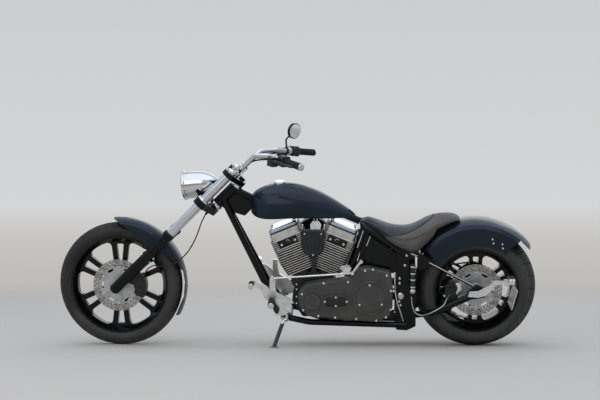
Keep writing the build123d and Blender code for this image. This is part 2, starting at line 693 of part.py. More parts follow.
with BuildPart() as front_hose:
    hose(
        [
            along_fork(LOWER_TREE - HOSE_UNION, HOSE_V, HOSE_Y), (526, 60, 715), (546, 61, 655),
            (570, 63, 600),
            (604, 68, 545), (648, 80, 502), (690, 86, 476), (740, 87, 467), (790, 85, 476),
            (832, 82, 452), (851, 79, 408),
        ],
        HOSE_R, "front brake hose",
    )
    add(front_caliper_upright, mode=Mode.SUBTRACT)
    add(trees_upright, mode=Mode.SUBTRACT)
front_hose.part = steered(front_hose.part)
front_hose.part.label = "front_brake_hose"
export_step(front_hose.part, "parts/front_brake_hose.step")

# Frame

neck_mid = along_fork((LOWER_TREE + LOWER_TREE_T + UPPER_TREE) / 2, -FORK_OFFSET)
NECK_LOW = LOWER_TREE + LOWER_TREE_T + 5
NECK_HIGH = UPPER_TREE - 5
with BuildPart() as frame_neck:
    with BuildSketch(FORK.offset(NECK_LOW)):
        with Locations((-FORK_OFFSET, 0)):
            Circle(NECK_R)
    extrude(amount=NECK_HIGH - NECK_LOW)
    # Bearing cups
    for level in (NECK_LOW, NECK_HIGH - 20):
        with BuildSketch(FORK.offset(level)):
            with Locations((-FORK_OFFSET, 0)):
                Circle(NECK_R + 4)
        extrude(amount=20)
    pipe(
        [along_fork(NECK_HIGH - 41, -FORK_OFFSET), (150, 0, 795), (-215, 0, 772), (-352, 0, 714)],
        BACKBONE_R, [150, 120],
    )
    low = along_fork(NECK_LOW + 21, -FORK_OFFSET)
    high = along_fork(NECK_HIGH - 50, -FORK_OFFSET)
    plate(
        [(low[0], low[2]), (high[0], high[2]), (215, 822), (290, 745), (low[0] - 51, low[2] - 40)], 6,
        12, 8,
    )
    with BuildSketch(FORK.offset(NECK_LOW - 2)):
        with Locations((-FORK_OFFSET, 0)):
            Circle(STEM_R + AXLE_PLAY)
    extrude(amount=NECK_HIGH - NECK_LOW + 4, mode=Mode.SUBTRACT)
neck_upright = frame_neck.part

with BuildPart() as frame_cradle:
    for hand in (1, -1):
        pipe(
            [
                along_fork(NECK_LOW + 60, -FORK_OFFSET - 9, hand * 20),
                along_fork(NECK_LOW + 34, -FORK_OFFSET - 86, hand * 30), (165, hand * 74, 347),
                (72, hand * RAIL_Y, 196), (-70, hand * RAIL_Y, RAIL_Z), (-608, hand * RAIL_Y, RAIL_Z - 17),
            ],
            PIPE_R, [60, 120, 90, 200],
        )
    rod((40, -RAIL_Y, 186), (40, RAIL_Y, 186), 15)
    rod((-560, -RAIL_Y, 152), (-560, RAIL_Y, 152), 15)
    rod(
        along_fork(NECK_LOW - 1, -FORK_OFFSET), along_fork(NECK_HIGH + 1, -FORK_OFFSET), NECK_R,
        Mode.SUBTRACT,
    )
    add(neck_upright, mode=Mode.SUBTRACT)
cradle_upright = frame_cradle.part

with BuildPart() as seat_frame:
    pipe(
        [
            (-596, -122, 548), (-380, -96, 694), (-366, -60, 704), (-366, 60, 704), (-380, 96, 694),
            (-596, 122, 548),
        ],
        15, [24, 24, 24, 24],
    )
    for hand in (1, -1):
        pipe([(-382, hand * 94, 696), (-292, hand * 108, 430), (-240, hand * 116, 176)], 14, 200)
    for y in (PLATE_Y + PLATE_T, -PLATE_Y):
        plate(
            [(-552, 578), (-600, 596), (-655, 566), (-660, 300), (-662, 142), (-612, 118), (-552, 122)],
            y, PLATE_T, 10,
        )
    rod((-628, -PLATE_Y, 560), (-628, PLATE_Y, 560), 15)
    rod((-634, PLATE_Y, 326), (-634, PLATE_Y + PLATE_T + 18, 326), 9)
    add(neck_upright, mode=Mode.SUBTRACT)
    add(cradle_upright, mode=Mode.SUBTRACT)
seat_frame_upright = seat_frame.part

PIVOT = (-604.0, 205.0)
ARM_Y = 178.0
with BuildPart() as swingarm:
    with BuildSketch(across(*PIVOT, -PLATE_Y)):
        Circle(24)
    extrude(amount=2 * PLATE_Y)
    for hand in (1, -1):
        y = ARM_Y * hand
        pipe(
            [
                (PIVOT[0], 84 * hand, PIVOT[1] - 8), (-664, 92 * hand, 200), (-752, y, 232),
                (REAR_AXLE_X + 30, y, REAR_AXLE_Z - 12),
            ],
            19, [40, 60],
        )
        rod((REAR_AXLE_X + 6, y, REAR_AXLE_Z + 34), (-716, y - 14 * hand, 520), 8)
        plate(
            [
                (REAR_AXLE_X - 44, REAR_AXLE_Z - 22), (REAR_AXLE_X - 44, REAR_AXLE_Z + 30),
                (REAR_AXLE_X + 8, REAR_AXLE_Z + 52),
                (REAR_AXLE_X + 56, REAR_AXLE_Z + 8), (REAR_AXLE_X + 60, REAR_AXLE_Z - 36),
            ],
            y + 8, 16, 10,
        )
        plate([(-664, 476), (-666, 566), (-706, 556), (-748, 520), (-704, 482)], y - 14 * hand + 11, 22, 8)
    rod((-682, 2 - ARM_Y, 536), (-682, ARM_Y - 2, 536), 12)
    rod((-640, -PLATE_Y, 536), (-640, PLATE_Y, 536), 12)
    rod((-688, -60, 536), (-630, -60, 536), 10)
    rod((-688, 60, 536), (-630, 60, 536), 10)
    with BuildSketch(across(REAR_AXLE_X, REAR_AXLE_Z, -220)):
        Circle(AXLE_R + 2)
    extrude(amount=440, mode=Mode.SUBTRACT)
    add(seat_frame_upright, mode=Mode.SUBTRACT)
    add(cradle_upright, mode=Mode.SUBTRACT)
swingarm_upright = swingarm.part

AXLE_END = ARM_Y + 8
with BuildPart() as rear_axle:
    with BuildSketch(across(REAR_AXLE_X, REAR_AXLE_Z, -AXLE_END)):
        Circle(AXLE_R + 2)
    extrude(amount=2 * AXLE_END)
    for y in (AXLE_END, -AXLE_END - 12):
        with BuildSketch(across(REAR_AXLE_X, REAR_AXLE_Z, y)):
            RegularPolygon(20, 6)
        extrude(amount=12)
rear_axle_upright = rear_axle.part

# Engine and gearbox

with BuildPart() as crankcase:
    with BuildSketch(side(CASE_HALF)) as case:
        with BuildLine():
            Polyline(
                (CRANK[0] + 120, CRANK[1] - 10), (CRANK[0] + 104, CRANK[1] + 96),
                (CRANK[0] + 8, CRANK[1] + 166),
                (CRANK[0] - 8, CRANK[1] + 166), (CRANK[0] - 116, CRANK[1] + 108),
                (CRANK[0] - 140, CRANK[1] + 20),
                (CRANK[0] - 120, CRANK[1] - 96), (CRANK[0] + 60, CRANK[1] - 100), close=True,
            )
        make_face()
        fillet(case.vertices(), 20)
    extrude(amount=2 * CASE_HALF)
    for angle in (V_HALF, -V_HALF):
        with BuildSketch(leaning_forward((CRANK[0], 0, CRANK[1]), angle).offset(110)):
            Rectangle(150, 150)
        extrude(amount=BARREL_BASE - 110)

with BuildPart() as cylinders:
    for angle in (V_HALF, -V_HALF):
        bore = leaning_forward((CRANK[0], 0, CRANK[1]), angle)
        with BuildSketch(bore.offset(BARREL_BASE)):
            Circle(BARREL_R)
        extrude(amount=BARREL_TOP - BARREL_BASE)
        for i in range(FIN_COUNT):
            half = min(FIN_HALF, 86 + 2.2 * i)
            with BuildSketch(bore.offset(FIN_FIRST + i * FIN_PITCH)):
                RectangleRounded(2 * half, 2 * half - 12, 34)
            extrude(amount=FIN_T)
        # Head: two flanges with short fins at its ends, and an open bay in each side
        with BuildSketch(bore.offset(BARREL_TOP)):
            Rectangle(132, 116)
        extrude(amount=HEAD_TOP - BARREL_TOP)
        fins = [(BARREL_TOP + 11.5 + i * HEAD_PITCH, FIN_T) for i in range(4)]
        for level, thick in [(BARREL_TOP, 5), *fins, (HEAD_TOP - 8, 8)]:
            with BuildSketch(bore.offset(level)):
                RectangleRounded(2 * FIN_HALF - 4, 2 * FIN_HALF - 22, 22)
            extrude(amount=thick)
        for y in (FIN_HALF, -FIN_HALF):
            with BuildSketch(bore.offset(BARREL_TOP + 5)):
                with Locations((4, y)):
                    RectangleRounded(112, 2 * FIN_HALF - 126, 12)
            extrude(amount=HEAD_TOP - BARREL_TOP - 13, mode=Mode.SUBTRACT)
    add(crankcase.part, mode=Mode.SUBTRACT)

# level, height, length, width and shift to the right of each layer of a rocker box
ROCKER_LAYERS = (
    (HEAD_TOP, BASE_TOP - HEAD_TOP, 174, 200, 16),
    (BASE_TOP, 8, 158, 150, 0),
    (BASE_TOP + 8, CAP_TOP - BASE_TOP - 8, 166, 158, 0),
)
with BuildPart() as rocker_boxes:
    for angle in (V_HALF, -V_HALF):
        bore = leaning_forward((CRANK[0], 0, CRANK[1]), angle)
        for level, height, length, width, shift in ROCKER_LAYERS:
            with BuildSketch(bore.offset(level)):
                with Locations((0, -shift)):
                    RectangleRounded(length, width, 20)
            extrude(amount=height)
        caps = rocker_boxes.faces().filter_by(Plane(origin=(0, 0, 0), z_dir=bore.z_dir))
        fillet(caps.sort_by(Axis((0, 0, 0), tuple(bore.z_dir)))[-1].edges(), 9)

SPROCKET = (-420.0, 330.0)
with BuildPart() as gearbox:
    with BuildSketch(side(100)) as case:
        with BuildLine():
            Polyline(
                (-300, 235), (-300, 420), (-360, 452), (-500, 440), (-528, 400), (-528, 250),
                (-500, 214), (-330, 206), close=True,
            )
        make_face()
        fillet(case.vertices(), 16)
    extrude(amount=205)
    with BuildSketch(across(*SPROCKET, -119)):
        Circle(70)
    extrude(amount=16)
    add(seat_frame_upright, mode=Mode.SUBTRACT)

with BuildPart() as primary_cover:
    outline = [
        (-8, 330), (-22, 366), (-58, 396), (-130, 410), (-225, 420), (-302, 432), (-350, 484), (-391, 491),
        (-520, 463), (-531, 400), (-531, 268), (-512, 208), (-440, 179), (-216, 196), (-60, 212),
        (-18, 262),
    ]
    with BuildSketch(side(PRIMARY_OUT)) as shape:
        with BuildLine():
            Polyline(*outline, close=True)
        make_face()
        fillet(shape.vertices(), 14)
    extrude(amount=PRIMARY_OUT - PRIMARY_IN)
    fillet(primary_cover.faces().sort_by(Axis.Y)[-1].edges(), 14)
    with BuildSketch(side(PRIMARY_IN)) as inner:
        with BuildLine():
            Polyline(
                (-40, 330), (-100, 380), (-240, 395), (-370, 440), (-500, 420), (-520, 250),
                (-440, 215), (-80, 235), close=True,
            )
        make_face()
    extrude(amount=PRIMARY_IN - 100)
    add(seat_frame_upright, mode=Mode.SUBTRACT)
    add(cradle_upright, mode=Mode.SUBTRACT)

with BuildPart() as primary_trim:
    with BuildSketch(across(*DERBY, PRIMARY_OUT)):
        Circle(95)
    extrude(amount=9)
    with BuildSketch(across(*DERBY, PRIMARY_OUT + 9)):
        Circle(79)
    extrude(amount=8)
    with BuildSketch(across(-217, 300, PRIMARY_OUT)):
        SlotOverall(146, 78, rotation=90)
    extrude(amount=9)
    with BuildSketch(across(-88, 300, PRIMARY_OUT)):
        Circle(42)
    extrude(amount=12)

with BuildPart() as cylinder_cover:
    with BuildSketch(side(128)) as shield:
        with BuildLine():
            Polyline(
                (-26, 689), (-155, 689), (-156, 600), (-140, 556), (-92, 529), (-42, 556), (-26, 600),
                close=True,
            )
        make_face()
        fillet(shield.vertices(), 15)
    extrude(amount=26)
    fillet(cylinder_cover.faces().sort_by(Axis.Y)[-1].edges(), 9)
    with BuildSketch(side(102)):
        with Locations((CRANK[0], 610)):
            Rectangle(34, 60)
    extrude(amount=42)
    with BuildSketch(side(112)):
        with Locations((CRANK[0] - 4, 496)):
            Rectangle(22, 84)
    extrude(amount=14)
    add(cylinders.part, mode=Mode.SUBTRACT)
    add(rocker_boxes.part, mode=Mode.SUBTRACT)

with BuildPart() as intake:
    with BuildSketch(across(CRANK[0], 612, -130)):
        Circle(24)
    extrude(amount=190)
    with BuildSketch(across(CRANK[0], 612, -206)):
        Circle(92)
    extrude(amount=76)
    fillet(intake.faces().sort_by(Axis.Y)[0].edges(), 16)
    add(cylinders.part, mode=Mode.SUBTRACT)
    add(rocker_boxes.part, mode=Mode.SUBTRACT)
    add(cylinder_cover.part, mode=Mode.SUBTRACT)

with BuildPart() as cam_side:
    with BuildSketch(side(-CASE_HALF)) as cam:
        with BuildLine():
            Polyline(
                (20, 262), (12, 350), (-50, 404), (-134, 404), (-200, 350), (-196, 250), (-140, 204),
                (-20, 208), close=True,
            )
        make_face()
        fillet(cam.vertices(), 18)
    extrude(amount=44)
    fillet(cam_side.faces().sort_by(Axis.Y)[0].edges(), 10)
    # Pushrod tubes, up into the rocker bases beside the fins
    a = radians(V_HALF)
    reach = HEAD_TOP + 13
    for hand in (1, -1):
        for foot, off_bore in ((58, -34), (34, -58)):
            top_x = CRANK[0] + hand * (reach * sin(a) + off_bore * cos(a))
            top_z = CRANK[1] + reach * cos(a) - off_bore * sin(a)
            rod((CRANK[0] + hand * foot, -TUBE_Y, 392), (top_x, -TUBE_Y, top_z), 9)
    add(cylinders.part, mode=Mode.SUBTRACT)
    add(rocker_boxes.part, mode=Mode.SUBTRACT)

MUFFLER_R = 40.0
MUFFLER_Y = -256.0
with BuildPart() as exhaust:
    pipe(
        [(46, -50, 614), (70, -132, 604), (44, -196, 470), (-84, -206, 226), (-470, -206, 226)], 21,
        [36, 60, 110],
    )
    pipe(
        [(-230, -50, 614), (-262, -132, 604), (-300, -196, 470), (-384, -206, 312), (-470, -206, 312)],
        21, [36, 60, 50],
    )
    for z, tail in ((226, -985), (312, -955)):
        pipe([(-440, -206, z), (-560, -208, z), (-640, MUFFLER_Y, z)], 23, 70)
        rod((-616, MUFFLER_Y + 4, z), (-650, MUFFLER_Y, z), 31)
        rod((-650, MUFFLER_Y, z), (tail, MUFFLER_Y, z), MUFFLER_R)
        rod((tail + 40, MUFFLER_Y, z), (tail - 1, MUFFLER_Y, z), 26, Mode.SUBTRACT)
    add(cylinders.part, mode=Mode.SUBTRACT)
    add(rocker_boxes.part, mode=Mode.SUBTRACT)
    add(cam_side.part, mode=Mode.SUBTRACT)
    add(seat_frame_upright, mode=Mode.SUBTRACT)

# Tank, seat and bodywork

def tank_section(x, top, width, crown_angle, crown_r, floor):
    """A closed outline at x, its top arc, side arcs and floor meeting without a break."""
    a = radians(crown_angle)
    r = (width - crown_r * sin(a)) / (1 - sin(a))
    cy = (crown_r - r) * sin(a)
    cz = top - crown_r + (crown_r - r) * cos(a)
    low = asin(max(-0.95, min(0.95, (cz - floor) / r)))
    with BuildSketch(Plane(origin=(x, 0, 0), x_dir=(0, 1, 0), z_dir=(1, 0, 0))) as section:
        with BuildLine():
            left = (cy + r * sin(a), cz + r * cos(a))
            right = (-left[0], left[1])
            low_left = (cy + r * cos(low), cz - r * sin(low))
            low_right = (-low_left[0], low_left[1])
            half_way = (radians(90) - a - low) / 2
            mid = (cy + r * cos(half_way), cz + r * sin(half_way))
            ThreePointArc(right, (0, top), left)
            ThreePointArc(left, mid, low_left)
            Line(low_left, low_right)
            ThreePointArc(low_right, (-mid[0], mid[1]), right)
        make_face()
    return section

# x, top, half width, crown angle, crown radius and floor of each tank section
TANK_SECTIONS = (
    (-345, 748, 26, 30, 30, 722),
    (-270, 800, 66, 30, 84, 745),
    (-150, 873, 118, 30, 150, 752),
    (-10, 924, 150, 30, 200, 757),
    (110, 930, 152, 30, 200, 752),
    (200, 905, 122, 30, 150, 752),
    (252, 862, 64, 30, 80, 775),
)
TANK_WALL = 4.0
with BuildPart() as tank:
    outside = [tank_section(*row).sketch.face() for row in TANK_SECTIONS]
    loft(outside)
    # The fuel space, above the tunnel
    inside = []
    for x, top, width, angle, crown_r, floor in TANK_SECTIONS[2:6]:
        fuel = tank_section(x, top - TANK_WALL, width - TANK_WALL, angle, crown_r - TANK_WALL, 802)
        inside.append(fuel.sketch.face())
    loft(inside, mode=Mode.SUBTRACT)
    with BuildSketch(Plane.XY.offset(700)):
        with Locations((-60, 0)):
            Rectangle(700, 62)
    extrude(amount=84, mode=Mode.SUBTRACT)
    add(neck_upright, mode=Mode.SUBTRACT)

with BuildPart() as fuel_cap:
    with BuildSketch(Plane.XY.offset(915)):
        with Locations((96, 0)):
            Circle(32)
    extrude(amount=27)
    chamfer(fuel_cap.faces().sort_by(Axis.Z)[-1].edges(), 4)
    add(tank.part, mode=Mode.SUBTRACT)

hub_x = REAR_AXLE_X
hub_z = REAR_AXLE_Z
with BuildPart() as rear_fender:
    with BuildSketch(REAR_HALF):
        with BuildLine():
            crown = ThreePointArc((TAIL_HALF - 26, TAIL_R - 16), (0, TAIL_R), (26 - TAIL_HALF, TAIL_R - 16))
            Polyline(crown @ 1, (4 - TAIL_HALF, TAIL_R - 34), (-TAIL_HALF, TAIL_R - 60), (-TAIL_HALF, 262))
            Polyline((-TAIL_HALF, 262), (TAIL_T - TAIL_HALF, 262), (TAIL_T - TAIL_HALF, TAIL_R - 61))
            inner = ThreePointArc(
                (28 - TAIL_HALF, TAIL_R - 16 - TAIL_T), (0, TAIL_R - TAIL_T),
                (TAIL_HALF - 28, TAIL_R - 16 - TAIL_T),
            )
            Polyline((TAIL_T - TAIL_HALF, TAIL_R - 61), (8 - TAIL_HALF, TAIL_R - 36), inner @ 0)
            Polyline(
                inner @ 1, (TAIL_HALF - 8, TAIL_R - 36), (TAIL_HALF - TAIL_T, TAIL_R - 61),
                (TAIL_HALF - TAIL_T, 262),
            )
            Polyline(
                (TAIL_HALF - TAIL_T, 262), (TAIL_HALF, 262), (TAIL_HALF, TAIL_R - 60),
                (TAIL_HALF - 4, TAIL_R - 34), crown @ 0,
            )
        make_face()
    revolve(axis=REAR_AXIS)
    front_edge = [wheel_point(250, 35), wheel_point(420, 42)]
    back_edge = [
        wheel_point(420, 141), wheel_point(TAIL_R - 18, 141), wheel_point(TAIL_R - 18, 130),
        wheel_point(345, 128.5),
        wheel_point(298, 125.5), wheel_point(250, 127),
    ]
    with BuildSketch(side(160)):
        with BuildLine():
            keep = front_edge + [(340, 520), (-340, 520)] + back_edge
            Polyline(*[(hub_x + x, hub_z + z) for x, z in keep], close=True)
        make_face()
    extrude(amount=320, mode=Mode.INTERSECT)
rear_fender_upright = rear_fender.part

with BuildPart() as seat:
    top = [
        (-352, 744), (-418, 734), (-506, 702), (-570, 690), (-640, 697), (-712, 730), (-772, 753),
        (-818, 759),
        (-904, 748), (-924, 733),
    ]
    under = [
        (-850, 722), (-780, 695), (-722, 590), (-704, 570), (-632, 568), (-562, 590), (-458, 648),
        (-356, 712),
    ]
    with BuildSketch(side(160)):
        with BuildLine():
            Spline(*top)
            Polyline(top[-1], *under, top[0])
        make_face()
    extrude(amount=320)
    with BuildSketch(Plane.XY.offset(540)) as plan:
        with BuildLine():
            Polyline(
                (-345, -40), (-420, -74), (-520, -136), (-600, -152), (-690, -150), (-800, -112),
                (-900, -74), (-930, -40),
                (-930, 40), (-900, 74), (-800, 112), (-690, 150), (-600, 152), (-520, 136), (-420, 74),
                (-345, 40), close=True,
            )
        make_face()
        fillet(plan.vertices(), 16)
    extrude(amount=240, mode=Mode.INTERSECT)
    with BuildSketch(across(hub_x, hub_z, -180)):
        Circle(TAIL_R + 1)
    extrude(amount=360, mode=Mode.SUBTRACT)
    add(neck_upright, mode=Mode.SUBTRACT)
    add(seat_frame_upright, mode=Mode.SUBTRACT)
    add(swingarm_upright, mode=Mode.SUBTRACT)
    add(tank.part, mode=Mode.SUBTRACT)

with BuildPart() as oil_tank:
    with BuildSketch(side(112)) as shape:
        with BuildLine():
            Polyline(
                (-386, 652), (-414, 644), (-568, 543), (-606, 512), (-604, 470), (-586, 446),
                (-525, 446), (-386, 474), close=True,
            )
        make_face()
        fillet(shape.vertices(), 9)
    extrude(amount=224)
    add(gearbox.part, mode=Mode.SUBTRACT)
    add(seat_frame_upright, mode=Mode.SUBTRACT)
    add(seat.part, mode=Mode.SUBTRACT)
    add(cylinders.part, mode=Mode.SUBTRACT)

sprocket_at = (SPROCKET[1] - REAR_AXLE_Z, SPROCKET[0] - REAR_AXLE_X)
with BuildPart() as drive_belt:
    with BuildSketch(across(REAR_AXLE_X, REAR_AXLE_Z, -BELT_IN - BELT_W)):
        Circle(PULLEY_R + 5)
        with Locations(sprocket_at):
            Circle(38)
        make_hull()
        with BuildSketch(mode=Mode.SUBTRACT):
            Circle(PULLEY_R + 0.4)
            with Locations(sprocket_at):
                Circle(33)
            make_hull()
    extrude(amount=BELT_W)

with BuildPart() as drive_sprocket:
    with BuildSketch(across(*SPROCKET, -BELT_IN - BELT_W)):
        Circle(32.6)
    extrude(amount=BELT_W)
    with BuildSketch(across(*SPROCKET, -BELT_IN)):
        Circle(18)
    extrude(amount=BELT_IN - 119)

# Controls and small pieces

# Side view of a forward control: its casting with two pockets, its toe lever and its shift pad
CONTROL = [
    (119, 444), (115, 388), (108, 357), (27, 316), (28, 248), (50, 243), (62, 232), (112, 224), (132, 270),
    (154, 318), (148, 352), (145, 444),
]
POCKETS = ([(94, 326), (40, 297), (66, 286)], [(98, 302), (72, 262), (104, 258)])
TOE_LEVER = [
    (246, 425), (230, 423), (190, 413), (154, 388), (128, 334), (146, 306), (176, 326), (180, 347),
    (197, 376),
    (229, 396), (246, 397),
]
SHIFT_PAD = [(-256, 462), (-254, 490), (-262, 501), (-292, 507), (-303, 499), (-288, 462)]
CONTROL_Y = 214.0
CONTROL_T = 14.0
PEG_AT = (135.0, 312.0)
PEG_END = 334.0

def forward_control(hand):
    """What both sides share: casting, its mounts on the frame, and the foot peg's core."""
    outside = CONTROL_Y if hand > 0 else CONTROL_T - CONTROL_Y
    plate(CONTROL, outside, CONTROL_T, 7)
    for pocket in POCKETS:
        with BuildSketch(side(CONTROL_Y if hand > 0 else 6 - CONTROL_Y)) as recess:
            with BuildLine():
                Polyline(*pocket, close=True)
            make_face()
            fillet(recess.vertices(), 4)
        extrude(recess.sketch, amount=6, mode=Mode.SUBTRACT)
    for x, y, z in ((136, 90, 300), (105, 107, 250)):
        rod((x, hand * y, z), (x, hand * (CONTROL_Y - 2), z), 13)
    rod((PEG_AT[0], hand * (CONTROL_Y - 6), PEG_AT[1]), (PEG_AT[0], hand * (PEG_END - 8), PEG_AT[1]), 11)
    rod((PEG_AT[0], hand * (PEG_END - 8), PEG_AT[1]), (PEG_AT[0], hand * PEG_END, PEG_AT[1]), 16)

with BuildPart() as left_control:
    forward_control(1)
    plate(TOE_LEVER, CONTROL_Y + 12, 10, 6)
    rod((246, CONTROL_Y + 2, 411), (246, CONTROL_Y + 78, 411), 13)
    rod((246, CONTROL_Y + 78, 411), (246, CONTROL_Y + 84, 411), 16)
    rod((131, CONTROL_Y - 6, 440), (131, CONTROL_Y + 16, 440), 10)
    rod((131, 224, 440), (-308, 214, 467), 5.5)
    rod((-308, 200, 467), (-308, 222, 467), 9)
    rod((-308, 206, 467), (-355, 206, 532), 7)
    rod((-355, 196, 532), (-355, 222, 532), 10)
    plate(SHIFT_PAD, 222, 10, 5)
    add(cradle_upright, mode=Mode.SUBTRACT)
    add(primary_cover.part, mode=Mode.SUBTRACT)
left_control_upright = left_control.part

with BuildPart() as right_control:
    forward_control(-1)
    plate(TOE_LEVER, 10 - CONTROL_Y - 10, 10, 6)
    plate([(206, 440), (262, 456), (270, 436), (262, 392), (232, 382)], -CONTROL_Y - 2, 62, 9)
    add(cradle_upright, mode=Mode.SUBTRACT)
right_control_upright = right_control.part

with BuildPart() as peg_rubbers:
    for hand in (1, -1):
        inner = hand * (CONTROL_Y + 18)
        outer = hand * (PEG_END - 9)
        rod((PEG_AT[0], inner, PEG_AT[1]), (PEG_AT[0], outer, PEG_AT[1]), 17)
    # Heel rest under the left peg
    plate([(131, 293), (118, 301), (94, 264), (97, 246), (112, 243), (126, 262)], CONTROL_Y + 26, 26, 6)
    add(left_control_upright, mode=Mode.SUBTRACT)
    add(right_control_upright, mode=Mode.SUBTRACT)

PEG_X = -640.0
PEG_Y = 186.0
with BuildPart() as passenger_pegs:
    for hand in (1, -1):
        rod((PEG_X, hand * (PLATE_Y + PLATE_T), 359), (PEG_X, hand * PEG_Y, 359), 11)
        rod((PEG_X, hand * PEG_Y, 346), (PEG_X, hand * PEG_Y, 372), 15)
        rod((PEG_X, hand * PEG_Y, 366), (PEG_X, hand * PEG_Y, 510), 13.5)
        for z in (379, 420, 455, 494):
            rod((PEG_X, hand * PEG_Y, z), (PEG_X, hand * PEG_Y, z + 8), 17)
    add(seat_frame_upright, mode=Mode.SUBTRACT)

with BuildPart() as top_mount:
    plate([(-78, 690), (-76, 715), (-90, 737), (-120, 737), (-137, 715), (-131, 690)], 112, 14, 5)
    rod((-105, 104, 716), (-105, 0, 734), 10)
    rod((-105, 0, 724), (-105, 0, 770), 11)
    add(neck_upright, mode=Mode.SUBTRACT)
    add(cylinder_cover.part, mode=Mode.SUBTRACT)

with BuildPart() as rear_caliper:
    reach = REAR_AXLE_X + 140
    hub = (REAR_AXLE_X, REAR_AXLE_Z)
    extrude(side(REAR_DISC_Y + CALIPER_HALF) * caliper_body(hub, -26, 22), amount=2 * CALIPER_HALF)
    extrude(side(REAR_DISC_Y + CALIPER_HALF + 6) * caliper_faces(hub, (-14, 10)), amount=6)
    with BuildSketch(across(REAR_AXLE_X, REAR_AXLE_Z, REAR_DISC_Y - DISC_T / 2 - PAD_GAP)):
        Circle(DISC_R + 5)
    extrude(amount=DISC_T + 2 * PAD_GAP, mode=Mode.SUBTRACT)
    plate(
        [
            (reach - 30, REAR_AXLE_Z - 60), (reach + 30, REAR_AXLE_Z - 66),
            (reach + 34, REAR_AXLE_Z + 20), (reach - 20, REAR_AXLE_Z + 20),
        ],
        REAR_DISC_Y + 42, 14, 6,
    )
    add(swingarm_upright, mode=Mode.SUBTRACT)

with BuildPart() as rear_hose:
    hose(
        [
            (-635, 140, 318), (-641, 146, 262), (-656, 151, 222), (-694, 160, 211), (-735, 200, 236),
            (-775, 206, 258),
            (-814, 203, 284), (-829, 176, 314), (-848, 141, 328),
        ],
        HOSE_R, "rear brake hose",
    )
    add(seat_frame_upright, mode=Mode.SUBTRACT)
    add(swingarm_upright, mode=Mode.SUBTRACT)
    add(rear_caliper.part, mode=Mode.SUBTRACT)

with BuildPart() as oil_line:
    hose(
        [
            (-546, 98, 462), (-543, 132, 404), (-545, 149, 338), (-558, 150, 277), (-578, 148, 224),
            (-592, 129, 172),
        ],
        4.5, "oil line",
    )
    add(oil_tank.part, mode=Mode.SUBTRACT)
    add(seat_frame_upright, mode=Mode.SUBTRACT)

PLATE_SIDE = AXLE_END + 12
with BuildPart() as plate_holder:
    plate(
        [
            (-942, 332), (-950, 362), (-1000, 366), (-1060, 396), (-1085, 424), (-1150, 424), (-1172, 404),
            (-1162, 388), (-1140, 400), (-1092, 398), (-1074, 372), (-1040, 338), (-1000, 328),
        ],
        PLATE_SIDE + 10, 10, 5,
    )
    with BuildSketch(Plane(
        origin=(-1176, PLATE_SIDE - 10, 355), x_dir=(0, 1, 0), z_dir=(-0.966, 0, -0.26),
    )):
        with Locations((92, 0)):
            RectangleRounded(180, 112, 8)
    extrude(amount=4)
    with BuildSketch(Plane(origin=(-1158, PLATE_SIDE + 46, 434), x_dir=(0, 1, 0), z_dir=(-1, 0, 0))):
        RectangleRounded(90, 34, 8)
    extrude(amount=30)
    add(rear_axle_upright, mode=Mode.SUBTRACT)

# Side stand, with its hinge on the left rail

STAND_TOP = (66.0, 174.0, 206.0)
FOOT_Y = 268.0
FOOT_X = 122.0
FOOT_Z = FOOT_Y * tan(radians(LEAN))
stand_run = Vector(FOOT_X, FOOT_Y, FOOT_Z) - Vector(*STAND_TOP)
folded_run = Vector(-0.97, 0.22, -0.06).normalized()
STAND_AXIS = stand_run.normalized().cross(folded_run).normalized()
STAND_TRAVEL = stand_run.get_angle(folded_run)

with BuildPart() as stand_bracket:
    low = Vector(*STAND_TOP) - STAND_AXIS * 22.4
    with BuildSketch(Plane(origin=low, z_dir=STAND_AXIS)):
        Circle(20)
    extrude(amount=9.6)
    rod((40, RAIL_Y, 190), tuple(low + STAND_AXIS * 4), 13)
    rod(tuple(low + STAND_AXIS * 9.6), tuple(low + STAND_AXIS * 60), 30, Mode.SUBTRACT)
    rod(tuple(low), tuple(low + STAND_AXIS * 38), 7)
    add(cradle_upright, mode=Mode.SUBTRACT)

with BuildPart() as side_stand:
    heel = Vector(*STAND_TOP) - STAND_AXIS * 12
    with BuildSketch(Plane(origin=heel, z_dir=STAND_AXIS)):
        Circle(21)
        Circle(7.4, mode=Mode.SUBTRACT)
    extrude(amount=24)
    foot = Vector(FOOT_X, FOOT_Y, FOOT_Z)
    tread = Vector(0, -s_lean, c_lean)
    rod(tuple(Vector(*STAND_TOP) + stand_run.normalized() * 16), tuple(foot + tread * 9), 11)
    with BuildSketch(Plane(origin=foot, z_dir=tread)):
        Circle(24)
    extrude(amount=9)

row = (
    (frame_neck, "frame_neck_and_backbone"),
    (frame_cradle, "frame_cradle"),
    (seat_frame, "seat_frame"),
    (swingarm, "swingarm"),
    (rear_axle, "rear_axle"),
    (crankcase, "crankcase"),
    (cylinders, "cylinders"),
    (rocker_boxes, "rocker_boxes"),
    (gearbox, "gearbox"),
    (primary_cover, "primary_cover"),
    (primary_trim, "primary_access_covers"),
    (cylinder_cover, "cylinder_cover"),
    (intake, "intake_and_air_cleaner"),
    (cam_side, "cam_cover_and_pushrods"),
    (exhaust, "exhaust_pipes"),
    (tank, "fuel_tank"),
    (fuel_cap, "fuel_cap"),
    (rear_fender, "rear_fender"),
    (seat, "seat"),
    (oil_tank, "oil_tank"),
    (drive_belt, "drive_belt"),
    (drive_sprocket, "drive_sprocket"),
    (left_control, "left_foot_control"),
    (right_control, "right_foot_control"),
    (peg_rubbers, "foot_peg_rubbers"),
    (passenger_pegs, "passenger_pegs"),
    (top_mount, "engine_top_mount"),
    (rear_hose, "rear_brake_hose"),
    (oil_line, "oil_line"),
    (rear_caliper, "rear_brake_caliper"),
    (plate_holder, "licence_plate_holder"),
    (stand_bracket, "side_stand_bracket"),
    (side_stand, "side_stand"),
)
